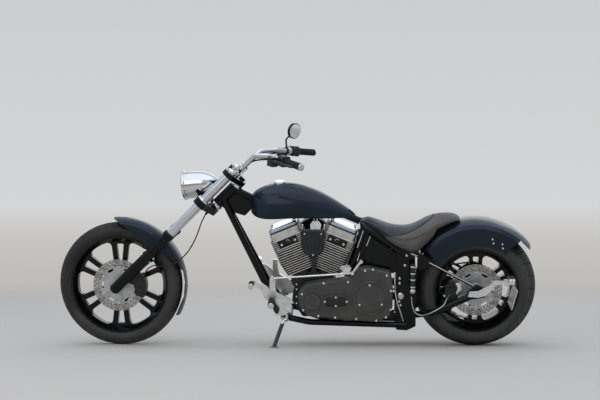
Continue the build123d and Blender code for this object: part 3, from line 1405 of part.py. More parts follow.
for piece, name in row:
    piece.part = parked(piece.part)
    piece.part.label = name
    export_step(piece.part, f"parts/{name}.step")
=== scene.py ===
import json
from math import cos, pi, radians, sin

import bpy
import numpy as np
from mathutils import Matrix, Vector
from mathutils.bvhtree import BVHTree


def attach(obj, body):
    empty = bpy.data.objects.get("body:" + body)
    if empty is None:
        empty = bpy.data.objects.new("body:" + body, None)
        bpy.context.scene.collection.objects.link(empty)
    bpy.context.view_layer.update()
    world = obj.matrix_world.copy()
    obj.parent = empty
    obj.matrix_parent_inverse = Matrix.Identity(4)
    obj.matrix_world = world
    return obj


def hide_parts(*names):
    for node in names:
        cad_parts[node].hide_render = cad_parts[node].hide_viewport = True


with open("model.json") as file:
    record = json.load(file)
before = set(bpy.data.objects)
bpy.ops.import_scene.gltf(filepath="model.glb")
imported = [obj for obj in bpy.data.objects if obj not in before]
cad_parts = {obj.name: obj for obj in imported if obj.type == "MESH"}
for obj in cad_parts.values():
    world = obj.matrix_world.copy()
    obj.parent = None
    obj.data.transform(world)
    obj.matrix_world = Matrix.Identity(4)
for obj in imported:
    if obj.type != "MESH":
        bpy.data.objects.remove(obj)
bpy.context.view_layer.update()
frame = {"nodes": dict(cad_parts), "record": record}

# The upright machine in millimetres: X forward, Y to the rider's left, Z up, ground at 0.
# It is parked by a lean to the left, and its front end is turned to the right before that.
LEAN = radians(12.0)
STEER = radians(5.5)
RAKE = radians(45.0)
SHIFT = np.array([-4.5, -195.0, 0.0])
FRONT_AXLE = np.array([996.0, 0.0, 353.81])
REAR_AXLE = np.array([-996.0, 0.0, 343.69])
FORK_OFFSET = 65.0
FORK_HALF = 115.0
STEM_FOOT = FRONT_AXLE + np.array([-FORK_OFFSET * cos(RAKE), 0.0, -FORK_OFFSET * sin(RAKE)])
STEM_DIR = np.array([-sin(RAKE), 0.0, cos(RAKE)])
CRANK = np.array([-92.0, 0.0, 285.0])
V_HALF = radians(22.5)
DISC_R = 146.0
CARRIER_R = 93.0
GRIP_END = np.array([-62.0, 398.0, 1065.0])
GRIP_DIR = np.array([-0.66, 0.74, -0.12])
FORK_FRONT = np.array([cos(RAKE), 0.0, sin(RAKE)])
LEFT, RIGHT, UP = (0, 1, 0), (0, -1, 0), (0, 0, 1)
SIDES = ((1, "left"), (-1, "right"))
SHARP_EDGE = radians(38)


def unit(vector):
    """One vector or many, made 1 long."""
    vector = np.asarray(vector, float)
    return vector / np.linalg.norm(vector, axis=-1, keepdims=True)


def turned(points, axis, angle):
    """Points turned about an axis through the origin, by Rodrigues' formula."""
    axis = np.asarray(axis, float)
    along = (points @ axis)[..., None] * axis
    return points * cos(angle) + np.cross(axis, points) * sin(angle) + along * (1 - cos(angle))


def parked(points):
    """Upright millimetres to the frame's metres, leaning on the side stand."""
    return (turned(np.asarray(points, float), (1, 0, 0), -LEAN) + SHIFT) / 1000


def steered(points):
    """The same for a piece of the front end, which is turned to the right first."""
    return parked(STEM_FOOT + turned(np.asarray(points, float) - STEM_FOOT, STEM_DIR, -STEER))


def along_fork(s, v, y=0.0):
    """A point at s up the fork from the axle, v in front of it and y to the left."""
    return FRONT_AXLE + np.array([-s * sin(RAKE) + v * cos(RAKE), y, s * cos(RAKE) + v * sin(RAKE)])


def bore_point(side, along, across=0.0, y=0.0):
    """A point along a cylinder's bore from the crank, across it and to the left; side 1 is the front."""
    return CRANK + np.array([side * along * sin(V_HALF) + across * cos(V_HALF), y,
                             along * cos(V_HALF) - side * across * sin(V_HALF)])


# Surfaces

PLACE = {"chassis": parked, "rear_wheel": parked, "fork": steered, "front_wheel": steered}


def outward(points, *faces):
    """A closed skin with its faces turned outward, by the sign of the volume that they enclose."""
    middle = points - points.mean(0)
    volume = 0.0
    for rows in faces:
        for k in range(1, rows.shape[1] - 1):
            a, b, c = middle[rows[:, 0]], middle[rows[:, k]], middle[rows[:, k + 1]]
            volume += np.einsum("ij,ij->", a, np.cross(b, c))
    return points, [rows[:, ::-1] if volume < 0 else rows for rows in faces]


def joined(parts):
    """One set of points and faces from several."""
    points, faces, start = [], [], 0
    for p, sets in parts:
        points.append(p)
        faces += [rows + start for rows in sets]
        start += len(p)
    return np.vstack(points), faces


def shown(name, data):
    """A new object in the scene."""
    piece = bpy.data.objects.new(name, data)
    bpy.context.scene.collection.objects.link(piece)
    return piece


def dressed(piece, slot, body="chassis", finish=None, replaces=()):
    """The piece in one finish, its slot's own unless another is given, riding on its body."""
    piece.data.materials.clear()
    piece.data.materials.append(finish or FINISH[slot])
    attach(piece, body)
    if replaces:
        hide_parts(*replaces)


def built(name, parts, slot="chrome", body="chassis", finish=None, replaces=()):
    """A piece from upright skins, placed as its body stands when parked."""
    points, faces = joined(parts)
    mesh = bpy.data.meshes.new(name)
    mesh.from_pydata(PLACE[body](points).tolist(), [], [face for rows in faces for face in rows.tolist()])
    mesh.polygons.foreach_set("use_smooth", np.ones(len(mesh.polygons), bool))
    mesh.set_sharp_from_angle(angle=SHARP_EDGE)
    dressed(shown(name, mesh), slot, body, finish, replaces)


def net_faces(rows, cols, close_rows=False):
    """Quads of a grid of points whose rows close on themselves. The last row joins the first if asked."""
    i, j = np.meshgrid(np.arange(rows if close_rows else rows - 1), np.arange(cols), indexing="ij")
    k, m = (i + 1) % rows, (j + 1) % cols
    return np.stack([i * cols + j, i * cols + m, k * cols + m, k * cols + j], -1).reshape(-1, 4)


def closed_rings(rings, poles):
    """A skin through rings of points, closed at each end by a fan to a pole."""
    rows, cols = rings.shape[:2]
    points = np.vstack([rings.reshape(-1, 3), poles])
    j = np.arange(cols)
    pole, start = rows * cols, (rows - 1) * cols
    first = np.stack([np.full(cols, pole), (j + 1) % cols, j], -1)
    last = np.stack([np.full(cols, pole + 1), start + j, start + (j + 1) % cols], -1)
    return outward(points, net_faces(rows, cols), first, last)


def square_to(axis):
    """Two directions square to an axis and to each other."""
    axis = unit(axis)
    first = unit(np.cross(axis, (0, 0, 1) if abs(axis[2]) < 0.9 else (1, 0, 0)))
    return axis, first, np.cross(axis, first)


def circle(sides):
    """The cosines and sines of evenly spaced angles all the way round."""
    angle = np.linspace(0, 2 * pi, sides, endpoint=False)
    return np.cos(angle), np.sin(angle)


def lathe(origin, axis, profile, sides):
    """Rows of (height, radius) turned about an axis. A radius of 0 at both ends closes it to poles,
    and without them the rows close on themselves as a ring."""
    profile = np.asarray(profile, float)
    axis, first, second = square_to(axis)
    c, s = circle(sides)
    ring = c[:, None] * first + s[:, None] * second
    rows = profile[profile[:, 1] > 0]
    rings = np.asarray(origin, float) + rows[:, :1, None] * axis + rows[:, 1:, None] * ring
    if profile[0, 1] > 0:
        return outward(rings.reshape(-1, 3), net_faces(len(rows), sides, True))
    return closed_rings(rings, np.asarray(origin, float) + profile[[0, -1], :1] * axis)


def tube(path, radius, sides):
    """A round skin about a path: a ring at each point, square to the path's tangent. Each end narrows to
    0.72 of its radius over a length of 0.3 of it."""
    path = np.asarray(path, float)
    radius = np.broadcast_to(np.asarray(radius, float), len(path))
    run = unit(np.gradient(path, axis=0))
    nose, tail = path[0] + run[0] * radius[0] * 0.3, path[-1] - run[-1] * radius[-1] * 0.3
    path = np.vstack([path[0], nose, path[1:-1], tail, path[-1]])
    radius = np.concatenate([[radius[0] * 0.72], radius, [radius[-1] * 0.72]])
    run = unit(np.gradient(path, axis=0))
    first = unit(np.cross(run, np.eye(3)[np.argmin(np.abs(run).mean(0))]))
    second = np.cross(run, first)
    c, s = circle(sides)
    ring = c[:, None] * first[:, None] + s[:, None] * second[:, None]
    return closed_rings(path[:, None] + radius[:, None, None] * ring, path[[0, -1]])


def rod(start, end, radius, sides):
    """A straight tube between two points."""
    return tube(np.linspace(start, end, 3), radius, sides)


def rounded(outline, corner):
    """A closed outline whose corners are parabolas between points a corner's length from them."""
    p = np.asarray(outline, float)
    to_last, to_next = np.roll(p, 1, 0) - p, np.roll(p, -1, 0) - p
    shorter = np.minimum(np.linalg.norm(to_last, axis=1), np.linalg.norm(to_next, axis=1))
    reach = np.minimum(corner, 0.45 * shorter)
    a, b = p + unit(to_last) * reach[:, None], p + unit(to_next) * reach[:, None]
    t = np.linspace(0, 1, 5)[None, :, None]
    return ((1 - t) ** 2 * a[:, None] + 2 * t * (1 - t) * p[:, None] + t**2 * b[:, None]).reshape(-1, 2)


def drawn_in(outline, by):
    """A closed outline moved inward by a distance, along the normals at its points."""
    run = np.roll(outline, -1, 0) - np.roll(outline, 1, 0)
    x, y = outline.T
    area = np.sum(x * np.roll(y, -1) - y * np.roll(x, -1))
    normal = unit(np.stack([run[:, 1], -run[:, 0]], -1)) * np.sign(area)
    return outline - normal * by


SIDE_VIEW = (np.zeros(3), np.array([1.0, 0, 0]), np.array([0, 0, 1.0]), np.array([0, 1.0, 0]))


def slab(outline, low, high, edge, view):
    """A closed outline given a thickness between two depths, with its edges rounded off by edge.
    The view holds the origin and the directions of the outline's two axes and of its depth."""
    origin, across, up, deep = view
    rows = [(edge, low), (edge * 0.3, low + edge * 0.3), (0, low + edge), (0, high - edge),
            (edge * 0.3, high - edge * 0.3), (edge, high)]
    rings = np.stack([
        origin + flat[:, :1] * across + flat[:, 1:] * up + depth * deep
        for flat, depth in ((drawn_in(outline, inset), depth) for inset, depth in rows)])
    n = len(outline)
    ends = np.arange(n)[None]
    return outward(rings.reshape(-1, 3), net_faces(len(rows), n), ends[:, ::-1],
                   ends + n * (len(rows) - 1))


def repeated(skin, spots):
    """The same skin at many spots, each a shift of its points."""
    points, faces = skin
    spots = np.asarray(spots, float)
    start = np.arange(len(spots))[:, None, None] * len(points)
    return ((points[None] + spots[:, None]).reshape(-1, 3),
            [(rows[None] + start).reshape(-1, rows.shape[1]) for rows in faces])


def cap_screws(spots, radius, height, axis):
    """Round-headed screws with a socket, at spots on the surface that they stand on."""
    profile = [(-2, 0), (-2, radius), (0.65 * height, radius), (height, 0.78 * radius),
               (height, 0.5 * radius), (0.45 * height, 0.42 * radius), (0.45 * height, 0)]
    return repeated(lathe((0, 0, 0), axis, profile, 10), spots)


def curve_through(points, count):
    """count points, evenly spaced in the parameter, on the Catmull-Rom curve through the given ones."""
    p = np.asarray(points, float)
    p = np.vstack([2 * p[0] - p[1], p, 2 * p[-1] - p[-2]])
    t = np.linspace(0, len(p) - 3 - 1e-9, count)
    k = t.astype(int)
    f = (t - k)[:, None]
    a, b, c, d = p[k], p[k + 1], p[k + 2], p[k + 3]
    return 0.5 * (2 * b + (c - a) * f + (2 * a - 5 * b + 4 * c - d) * f**2 + (3 * b - a - 3 * c + d) * f**3)


def step(edge0, edge1, x):
    """0 below edge0, 1 above edge1, and a smooth cubic between them."""
    t = np.clip((x - edge0) / (edge1 - edge0), 0, 1)
    return t * t * (3 - 2 * t)


def wheel_spot(centre, radius, angle, y):
    """Points at a radius and angle about a wheel's axle, y to the left; angle 0 is up, turning forward."""
    x, z = centre[0] + radius * np.sin(angle), centre[2] + radius * np.cos(angle)
    return np.stack([x, y + 0 * angle, z], -1)


def band(low, high, inner, edge, outer, bevel):
    """The rows of a ring with bevelled shoulders, for lathe."""
    return [(low, inner), (low, edge), (low + bevel, outer),
            (high - bevel, outer), (high, edge), (high, inner)]


def lathed(name, places, axis, sides, rows, slot="chrome", body="chassis", finish=None):
    """A piece made of the same turned shape at each of its places."""
    built(name, [lathe(place, axis, rows, sides) for place in places], slot, body, finish)


def screws(name, spots, radius, height, axis=LEFT, slot="chrome", body="chassis", finish=None):
    """A piece made of screws."""
    built(name, [cap_screws(spots, radius, height, axis)], slot, body, finish)


def plate(name, outline, low, high, edge, slot, view=SIDE_VIEW, finish=None):
    """A flat piece on the chassis."""
    built(name, [slab(outline, low, high, edge, view)], slot, finish=finish)


# Finishes


def rgba(colour):
    """A colour with full opacity, or the output that gives it."""
    return colour if isinstance(colour, Value) else (*colour, 1.0)


def shaded(colour, by, lift=0.0):
    """A colour made darker or lighter by a factor, and lifted by an amount."""
    return tuple(min(1.0, c * by + lift) for c in colour)


class Value:
    """One output of a material's node. Arithmetic on it adds Math nodes."""

    def __init__(self, finish, socket):
        self.finish = finish
        self.socket = socket

    def math(self, operation, *others, first=None):
        terms = [self, *others] if first is None else [first, self]
        return self.finish.node("ShaderNodeMath", {"operation": operation}, dict(enumerate(terms)))

    def __add__(self, other):
        return self.math("ADD", other)

    def __sub__(self, other):
        return self.math("SUBTRACT", other)

    def __mul__(self, other):
        return self.math("MULTIPLY", other)

    def __rsub__(self, other):
        return self.math("SUBTRACT", first=other)

    def __abs__(self):
        return self.math("ABSOLUTE")

    __radd__ = __add__
    __rmul__ = __mul__

    def or_more(self, other):
        return self.math("MAXIMUM", other)

    def or_less(self, other):
        return self.math("MINIMUM", other)

    def between(self, low, high):
        """0 below low, 1 above high, smooth between."""
        return self.finish.node("ShaderNodeMapRange", {"interpolation_type": "SMOOTHSTEP"},
                                {"Value": self, "From Min": low, "From Max": high})


class Nodes:
    """The node tree of a material or of the world."""

    def __init__(self, owner):
        owner.use_nodes = True
        self.tree = owner.node_tree

    def fill(self, sockets, inputs):
        """Gives sockets their values, or links them to the outputs of other nodes."""
        for key, value in inputs.items():
            if isinstance(value, Value):
                self.tree.links.new(value.socket, sockets[key])
            else:
                sockets[key].default_value = value

    def node(self, kind, settings=None, inputs=None, output=0):
        """A node of any kind, its settings set first, then the values or links of its sockets."""
        node = self.tree.nodes.new(kind)
        for key, value in (settings or {}).items():
            setattr(node, key, value)
        self.fill(node.inputs, inputs or {})
        return Value(self, node.outputs[output])

    def mix(self, factor, first, second):
        """A colour between two."""
        return self.node("ShaderNodeMix", {"data_type": "RGBA"},
                         {"Factor": factor, 6: rgba(first), 7: rgba(second)}, output=2)


class Finish(Nodes):
    """A material whose surface() sets the shader's sockets."""

    def __init__(self, name):
        self.material = bpy.data.materials.new(name)
        super().__init__(self.material)
        self.shader = self.tree.nodes["Principled BSDF"]
        self.place = self.node("ShaderNodeTexCoord", output="Object")

    def noise(self, scale, detail=4.0, roughness=0.5):
        """Soft random values from 0 to 1 over the surface."""
        return self.node("ShaderNodeTexNoise", {}, {
            "Vector": self.place, "Scale": scale, "Detail": detail, "Roughness": roughness})

    def along(self, axis, origin):
        """Millimetres along an upright direction from an upright point: the dot product of the place
        on the surface with that direction as it lies in the parked machine."""
        start = parked(origin)
        way = (parked(np.asarray(origin, float) + axis) - start) * 1000
        dot = self.node("ShaderNodeVectorMath", {"operation": "DOT_PRODUCT"},
                        {0: self.place, 1: tuple(way * 1000)}, output="Value")
        return dot - float(start @ way) * 1000

    def bump(self, height, strength, distance, under=None):
        """A surface that rises with height, on top of another bump if one is given."""
        inputs = {"Height": height, "Strength": strength, "Distance": distance}
        return self.node("ShaderNodeBump", {}, inputs if under is None else inputs | {"Normal": under})

    def surface(self, **sockets):
        """Sets the shader's sockets; a name's underscores stand for spaces."""
        for key, value in sockets.items():
            value = rgba(value) if isinstance(value, tuple) else value
            self.fill(self.shader.inputs, {key.replace("_", " "): value})
        return self.material

    def thinned(self, factor):
        """Lets the surface thin out to nothing where the factor reaches 1."""
        clear = self.node("ShaderNodeBsdfTransparent")
        solid = Value(self, self.shader.outputs[0])
        mixed = self.node("ShaderNodeMixShader", {}, {0: factor, 1: solid, 2: clear})
        self.fill(self.tree.nodes["Material Output"].inputs, {"Surface": mixed})
        return self.material


def gloss_paint(name, colour, flake=0.0, dusty=0.0, coat=0.6, metal=0.0):
    """Deep lacquer under a clear coat: faint flake, patches of dust and a sprayed surface's waviness."""
    f = Finish(name)
    tone = f.mix(f.noise(3.0, 2.0).between(0.35, 0.7), shaded(colour, 0.75), colour)
    if flake:
        sparkle = f.noise(2400.0, 1.0).between(0.62, 0.75)
        tone = f.mix(sparkle * flake, tone, shaded(colour, 2.5, 0.004))
    dust = f.noise(60.0, 6.0, 0.7)
    if dusty:
        tone = f.mix(dust.between(0.5, 0.8) * dusty, tone, (0.16, 0.14, 0.12))
    wave = f.bump(f.noise(26.0, 2.0), 0.03, 0.002)
    return f.surface(Base_Color=tone, Roughness=dust * 0.14 + (0.22 + metal * 0.2), Metallic=metal,
                     Coat_Weight=coat, Coat_Roughness=0.02, Coat_IOR=1.4, Specular_IOR_Level=0.03,
                     Normal=wave)


def satin_black(name, colour, rough=0.42, worn=0.5):
    """Powder coat on a casting: fine orange peel, a worn sheen, and paler dust in patches."""
    f = Finish(name)
    wear = f.noise(14.0, 5.0, 0.6)
    tone = f.mix(wear.between(0.4, 0.75), colour, shaded(colour, 1 + worn, 0.003))
    dust = f.noise(55.0, 7.0, 0.72).between(0.55, 0.8)
    tone = f.mix(dust * 0.16, tone, (0.20, 0.18, 0.155))
    peel = f.bump(f.noise(900.0, 3.0), 0.22, 0.0004)
    return f.surface(Base_Color=tone, Roughness=wear * 0.2 + (rough - 0.1), Normal=peel,
                     Specular_IOR_Level=0.4)


def bare_metal(name, colour, haze, worn, dulled, rough, hairlines=None):
    """Bare or plated metal. Patches of haze, a noise of the given scale, detail and roughness, darken it by
    dulled where they pass from the first to the second value of worn, and roughen it. Hairlines are a bump
    of the given scale, strength and depth."""
    f = Finish(name)
    stain = f.noise(*haze)
    tone = f.mix(stain.between(*worn), colour, shaded(colour, dulled))
    f.surface(Base_Color=tone, Metallic=1.0, Roughness=stain * rough[1] + rough[0])
    if hairlines:
        scale, strength, depth = hairlines
        f.surface(Normal=f.bump(f.noise(scale, 2.0), strength, depth))
    return f.material


def v_spot(f):
    """Where a surface point lies in its own cylinder: how far up the bore, across it, and out from the
    middle. The V's halves mirror each other, so the sideways distance from the crank loses its sign."""
    x = abs(f.along((1, 0, 0), CRANK))
    z = f.along((0, 0, 1), CRANK)
    y = abs(f.along((0, 1, 0), CRANK))
    return x * sin(V_HALF) + z * cos(V_HALF), abs(x * cos(V_HALF) - z * sin(V_HALF)), y


def cast_fins(name):
    """Cast alloy, bright along the machined edges of the fins and darkened between them as painted shade. A
    point is near an edge when its greatest distance from the bore comes within a few millimetres of the fins'
    outline."""
    f = Finish(name)
    up, across, out = v_spot(f)
    limit = ((up - 175.0) * 0.167 + 86.0).or_more(86.0).or_less(97.0)
    edge = (across.or_more(out + 8.0) - limit).between(-8.0, -2.5)
    stain = f.noise(22.0, 5.0, 0.65)
    bright = f.mix(stain.between(0.35, 0.7), (0.78, 0.76, 0.73), (0.56, 0.54, 0.51))
    # Painted shade: the deep parts between the fins get a near-black colour, the machined edges a bright one.
    painted_fin_shade = f.mix(stain.between(0.35, 0.7), (0.040, 0.038, 0.036), (0.018, 0.017, 0.016))
    return f.surface(Base_Color=f.mix(edge, painted_fin_shade, bright), Metallic=edge * 0.65 + 0.2,
                     Roughness=stain * 0.25 + 0.3, Normal=f.bump(f.noise(500.0, 4.0, 0.7), 0.2, 0.0004))


def rocker_layers(name):
    """Three layers up each bore: a matt alloy base to 426 mm, a black middle, a chromed cap from 435 mm."""
    f = Finish(name)
    up, _, _ = v_spot(f)
    middle, cap = up.between(425.5, 426.5), up.between(434.0, 435.0)
    stain = f.noise(26.0, 5.0, 0.65)
    base = f.mix(stain.between(0.35, 0.7), (0.72, 0.71, 0.69), (0.52, 0.51, 0.49))
    tone = f.mix(cap, f.mix(middle, base, (0.02, 0.02, 0.02)), (0.50, 0.54, 0.62))
    rough = (stain * 0.2 + 0.32) * (1 - cap) + cap * 0.05
    return f.surface(Base_Color=tone, Metallic=(1 - middle + cap) * 0.9, Roughness=rough,
                     Normal=f.bump(f.noise(500.0, 3.0) * (1 - cap), 0.15, 0.0003))


def stand_leg(name):
    """A plated hub at the pivot, a black leg and a grey foot, by height above the ground."""
    f = Finish(name)
    height = f.along((0, 0, 1), (122.0, 268.0, 57.0))
    foot, hub = 1 - height.between(8.0, 14.0), height.between(118.0, 124.0)
    wear = f.noise(30.0, 5.0, 0.6)
    leg = f.mix(wear.between(0.45, 0.75), (0.02, 0.02, 0.02), (0.06, 0.058, 0.055))
    tone = f.mix(hub, f.mix(foot, leg, (0.34, 0.34, 0.34)), (0.78, 0.79, 0.81))
    return f.surface(Base_Color=tone, Metallic=hub * 0.98 + foot * 0.5,
                     Roughness=wear * 0.25 + 0.3 - hub * 0.2)


def rubber(name, colour, scale=700.0):
    """Rubber with dust in its pores and a dry sheen."""
    f = Finish(name)
    dust = f.noise(8.0, 6.0, 0.7)
    fine = f.noise(90.0, 5.0, 0.7)
    tone = f.mix(dust.between(0.4, 0.75), colour, shaded(colour, 1.8, 0.010))
    tone = f.mix(fine.between(0.5, 0.8) * 0.2, tone, (0.15, 0.135, 0.115))
    return f.surface(Base_Color=tone, Roughness=dust * 0.25 + 0.55, Specular_IOR_Level=0.3,
                     Normal=f.bump(f.noise(scale, 3.0), 0.3, 0.0004))


def tyre_rubber(name, wall):
    """Tyre rubber in dusty patches, and a painted sheen: a paler band from wall millimetres out to either
    side.
    """
    f = Finish(name)
    out = abs(f.along((0, 1, 0), (0, 0, 350)))
    dust = f.noise(9.0, 6.0, 0.7)
    # Painted sheen: beyond the band, the sidewalls get a paler tone that stands for the sky's sheen on them.
    band = out.between(wall - 9.0, wall)
    tone = f.mix(dust.between(0.35, 0.75), (0.013, 0.0127, 0.0123), (0.024, 0.023, 0.022))
    painted_sidewall_sheen = f.mix(dust.between(0.35, 0.7), (0.042, 0.041, 0.039), (0.062, 0.060, 0.056))
    tone = f.mix(band * 0.75, tone, painted_sidewall_sheen)
    return f.surface(Base_Color=tone, Roughness=dust * 0.2 + 0.5, Specular_IOR_Level=0.35,
                     Normal=f.bump(f.noise(700.0, 3.0), 0.3, 0.0004))


def hide(name):
    """Black hide: pebbled grain by cells, creases, a polish on top where the rider sits and a matt side
    panel below the seam. Both tones are painted light on one leather: a blue-grey sky reflection on top and a
    paler side panel. The piece's own map gives the height above the seam in decimetres."""
    f = Finish(name)
    seam_map = f.node("ShaderNodeUVMap", {"uv_map": "along"})
    above = f.node("ShaderNodeSeparateXYZ", {}, {0: seam_map}, output="Y").between(-0.03, 0.03)
    cells = f.node("ShaderNodeTexVoronoi", {"feature": "DISTANCE_TO_EDGE"},
                   {"Vector": f.place, "Scale": 380.0})
    worn = f.noise(7.0, 4.0)
    # Painted reflection and light: the top is tinted blue-grey as the sky on it, and the side panel below the
    # seam is painted paler.
    top = f.mix(worn.between(0.35, 0.7), (0.018, 0.020, 0.025), (0.032, 0.035, 0.041))
    panel = f.mix(worn.between(0.35, 0.7), (0.080, 0.074, 0.067), (0.105, 0.097, 0.088))
    grain = f.bump(cells.between(0.0, 0.2), 0.3, 0.0005)
    return f.surface(Base_Color=f.mix(above, panel, top), Roughness=0.66 - worn * 0.2 - above * 0.12,
                     Specular_IOR_Level=0.4, Normal=f.bump(f.noise(30.0, 5.0, 0.6), 0.3, 0.002, grain))


def braid(name):
    """Steel braid in a clear sleeve: crossing strands as two slanted waves."""
    f = Finish(name)
    one, two = (f.node("ShaderNodeTexWave", {"bands_direction": way},
                       {"Vector": f.place, "Scale": 420.0, "Distortion": 1.0}) for way in "XZ")
    strand = one.or_more(two)
    return f.surface(Base_Color=f.mix(strand, (0.18, 0.18, 0.18), (0.62, 0.62, 0.62)), Metallic=0.9,
                     Roughness=0.5 - strand * 0.2, Normal=f.bump(strand, 0.3, 0.0004))


def clear_glass(name):
    """Clear glass with a faint film of dust."""
    f = Finish(name)
    dust = f.noise(30.0, 5.0)
    return f.surface(Base_Color=(0.93, 0.96, 1.0), Roughness=dust * 0.06 + 0.01, Transmission_Weight=1.0,
                     IOR=1.45)


def silvered_glass(name):
    """The mirror's glass, pale blue from the sky that it shows."""
    f = Finish(name)
    haze = f.noise(20.0, 4.0)
    return f.surface(Base_Color=f.mix(haze, (0.76, 0.82, 0.88), (0.70, 0.76, 0.84)), Metallic=1.0,
                     Roughness=haze * 0.04 + 0.02)


JET = (0.003, 0.003, 0.0035)
# Ground steel's haze, wear, dulling, roughness and hairlines, as bare_metal takes them
GROUND = ((35.0, 5.0, 0.65), (0.35, 0.7), 0.68, (0.34, 0.2), (900.0, 0.03, 0.0003))
FINISH = {
    "frame_black": gloss_paint("frame_paint", JET),
    "body_paint": gloss_paint("body_lacquer", (0.018, 0.028, 0.045), flake=0.3, coat=0.45, metal=0.7),
    "chrome": bare_metal("chrome_plate", (0.70, 0.71, 0.73), (9.0, 6.0, 0.65), (0.4, 0.8), 0.82, (0.03, 0.1)),
    "engine_black": satin_black("engine_coat", (0.010, 0.010, 0.011)),
    "cover_grey": satin_black("cover_coat", (0.052, 0.050, 0.047), 0.44, worn=0.3),
    "cylinder_metal": cast_fins("cylinder_alloy"),
    "polished_alloy": bare_metal("polished_alloy_finish", (0.86, 0.855, 0.845), (40.0, 6.0, 0.7),
                                 (0.35, 0.75), 0.82, (0.22, 0.18), (600.0, 0.008, 0.0002)),
    "brushed_steel": bare_metal("disc_steel", (0.42, 0.40, 0.375), *GROUND),
    "wheel_black": gloss_paint("wheel_lacquer", JET, dusty=0.08),
    "exhaust_black": satin_black("exhaust_coat", (0.014, 0.014, 0.014), 0.55),
    "box_black": gloss_paint("box_lacquer", JET),
    "tyre": rubber("tyre_rubber", (0.013, 0.0127, 0.0123)),
    "belt_rubber": rubber("belt_rubber_finish", (0.014, 0.014, 0.014)),
    "grip_rubber": rubber("grip_rubber_finish", (0.012, 0.012, 0.013)),
    "peg_rubber": rubber("peg_rubber_finish", (0.02, 0.02, 0.02)),
    "seat_leather": hide("seat_hide"),
    "lens_glass": clear_glass("lens_clear"),
    "control_black": satin_black("control_coat", (0.010, 0.010, 0.011), 0.38),
    "hose_black": rubber("hose_sleeve", (0.012, 0.012, 0.012), 1200.0),
    "braided_steel": braid("hose_braid"),
}
FRONT_RUBBER = tyre_rubber("front_tyre_rubber", 50.0)
REAR_RUBBER = tyre_rubber("rear_tyre_rubber", 112.0)
CASE_GREY = satin_black("case_edge_grey", (0.085, 0.082, 0.078), 0.4)
PORCELAIN = satin_black("plug_porcelain", (0.62, 0.60, 0.56), 0.3, worn=0.1)
# Painted reflection: the tail lamp's lens is coloured dark blue as the sky that it reflects.
PAINTED_SKY_LENS = gloss_paint("lamp_lens_painted_sky", (0.008, 0.014, 0.045))
SILVERED = silvered_glass("mirror_silvered")
CARRIER_STEEL = bare_metal("carrier_silver", (0.56, 0.56, 0.56), *GROUND)
BY_NODE = {"rocker_boxes": rocker_layers("rocker_finish"), "side_stand": stand_leg("stand_finish")}
slots = {entry["node"]: entry["material_slot"] for entry in frame["record"]["subparts"]}
for node_name, node_object in frame["nodes"].items():
    node_object.data.materials.clear()
    node_object.data.materials.append(BY_NODE.get(node_name, FINISH[slots[node_name]]))

# Tyres

TYRE_TURNS = 560


def tyre(end, finish, centre, half_profile, inner, across, groove):
    """A closed skin carried round the axle: a smooth outer section from bead to bead, let in by
    groove(angle, y) where the tread is cut, and a plain inner section back again."""
    half = np.array(half_profile, float)
    outer = curve_through(np.vstack([half, half[-2::-1] * [-1, 1]]), across)
    section = np.vstack([outer, np.array(inner, float)])
    angle = np.linspace(0, 2 * pi, TYRE_TURNS, endpoint=False)
    y = np.broadcast_to(section[:, 0], (TYRE_TURNS, len(section)))
    radius = np.broadcast_to(section[:, 1], (TYRE_TURNS, len(section))).copy()
    turn = np.broadcast_to(angle[:, None], radius.shape)
    radius[:, :across] -= groove(turn, y)[:, :across]
    points = wheel_spot(centre, radius, turn, y).reshape(-1, 3)
    skin = outward(points, net_faces(TYRE_TURNS, len(section), True))
    built(f"{end}_tyre_treaded", [skin], "tyre", f"{end}_wheel", finish, replaces=(f"{end}_tyre",))


def slanted_cuts(turn, y, count, slant, width, y_from, y_to, depth):
    """Cuts that cross the tread on a slant: depth where the slanted angle is near a whole number."""
    phase = turn * count / (2 * pi) + np.abs(y) * slant
    off = np.abs(phase - np.round(phase))
    where = step(y_from - 3, y_from + 3, np.abs(y)) * (1 - step(y_to - 4, y_to + 4, np.abs(y)))
    return depth * (1 - step(width * 0.6, width, off)) * where


def front_tread(turn, y):
    """A wavy ring 12 mm either side of the middle, and short slanted cuts outside it."""
    ring = 4 * (1 - step(2.0, 4.0, np.abs(np.abs(y) - 12 - 3 * np.sin(turn * 36))))
    return np.maximum(ring, slanted_cuts(turn, y, 42, 0.012, 0.09, 18, 55, 4.5))


def rear_tread(turn, y):
    """A straight ring 26 mm either side of the middle, and long slanted cuts out to the shoulder."""
    ring = 4.5 * (1 - step(2.5, 5.0, np.abs(np.abs(y) - 26)))
    return np.maximum(ring, slanted_cuts(turn, y, 26, -0.006, 0.05, 34, 122, 5))


tyre("front", FRONT_RUBBER, FRONT_AXLE,
     [(47, 270), (54, 278), (60, 292), (61.5, 304), (57, 317), (50, 326.5), (35, 339.8), (18, 347.5),
      (0, 350)],
     [(-36, 270), (-38, 288), (-45, 306), (0, 338), (45, 306), (38, 288), (36, 270)], 76, front_tread)
tyre("rear", REAR_RUBBER, REAR_AXLE,
     [(114, 232), (122, 240), (129, 257), (131, 272), (124, 287), (105, 302), (80, 319), (45, 333.7),
      (0, 340)],
     [(-103, 232), (-105, 252), (-116, 272), (0, 328), (116, 272), (105, 252), (103, 232)], 110, rear_tread)

# Brake discs


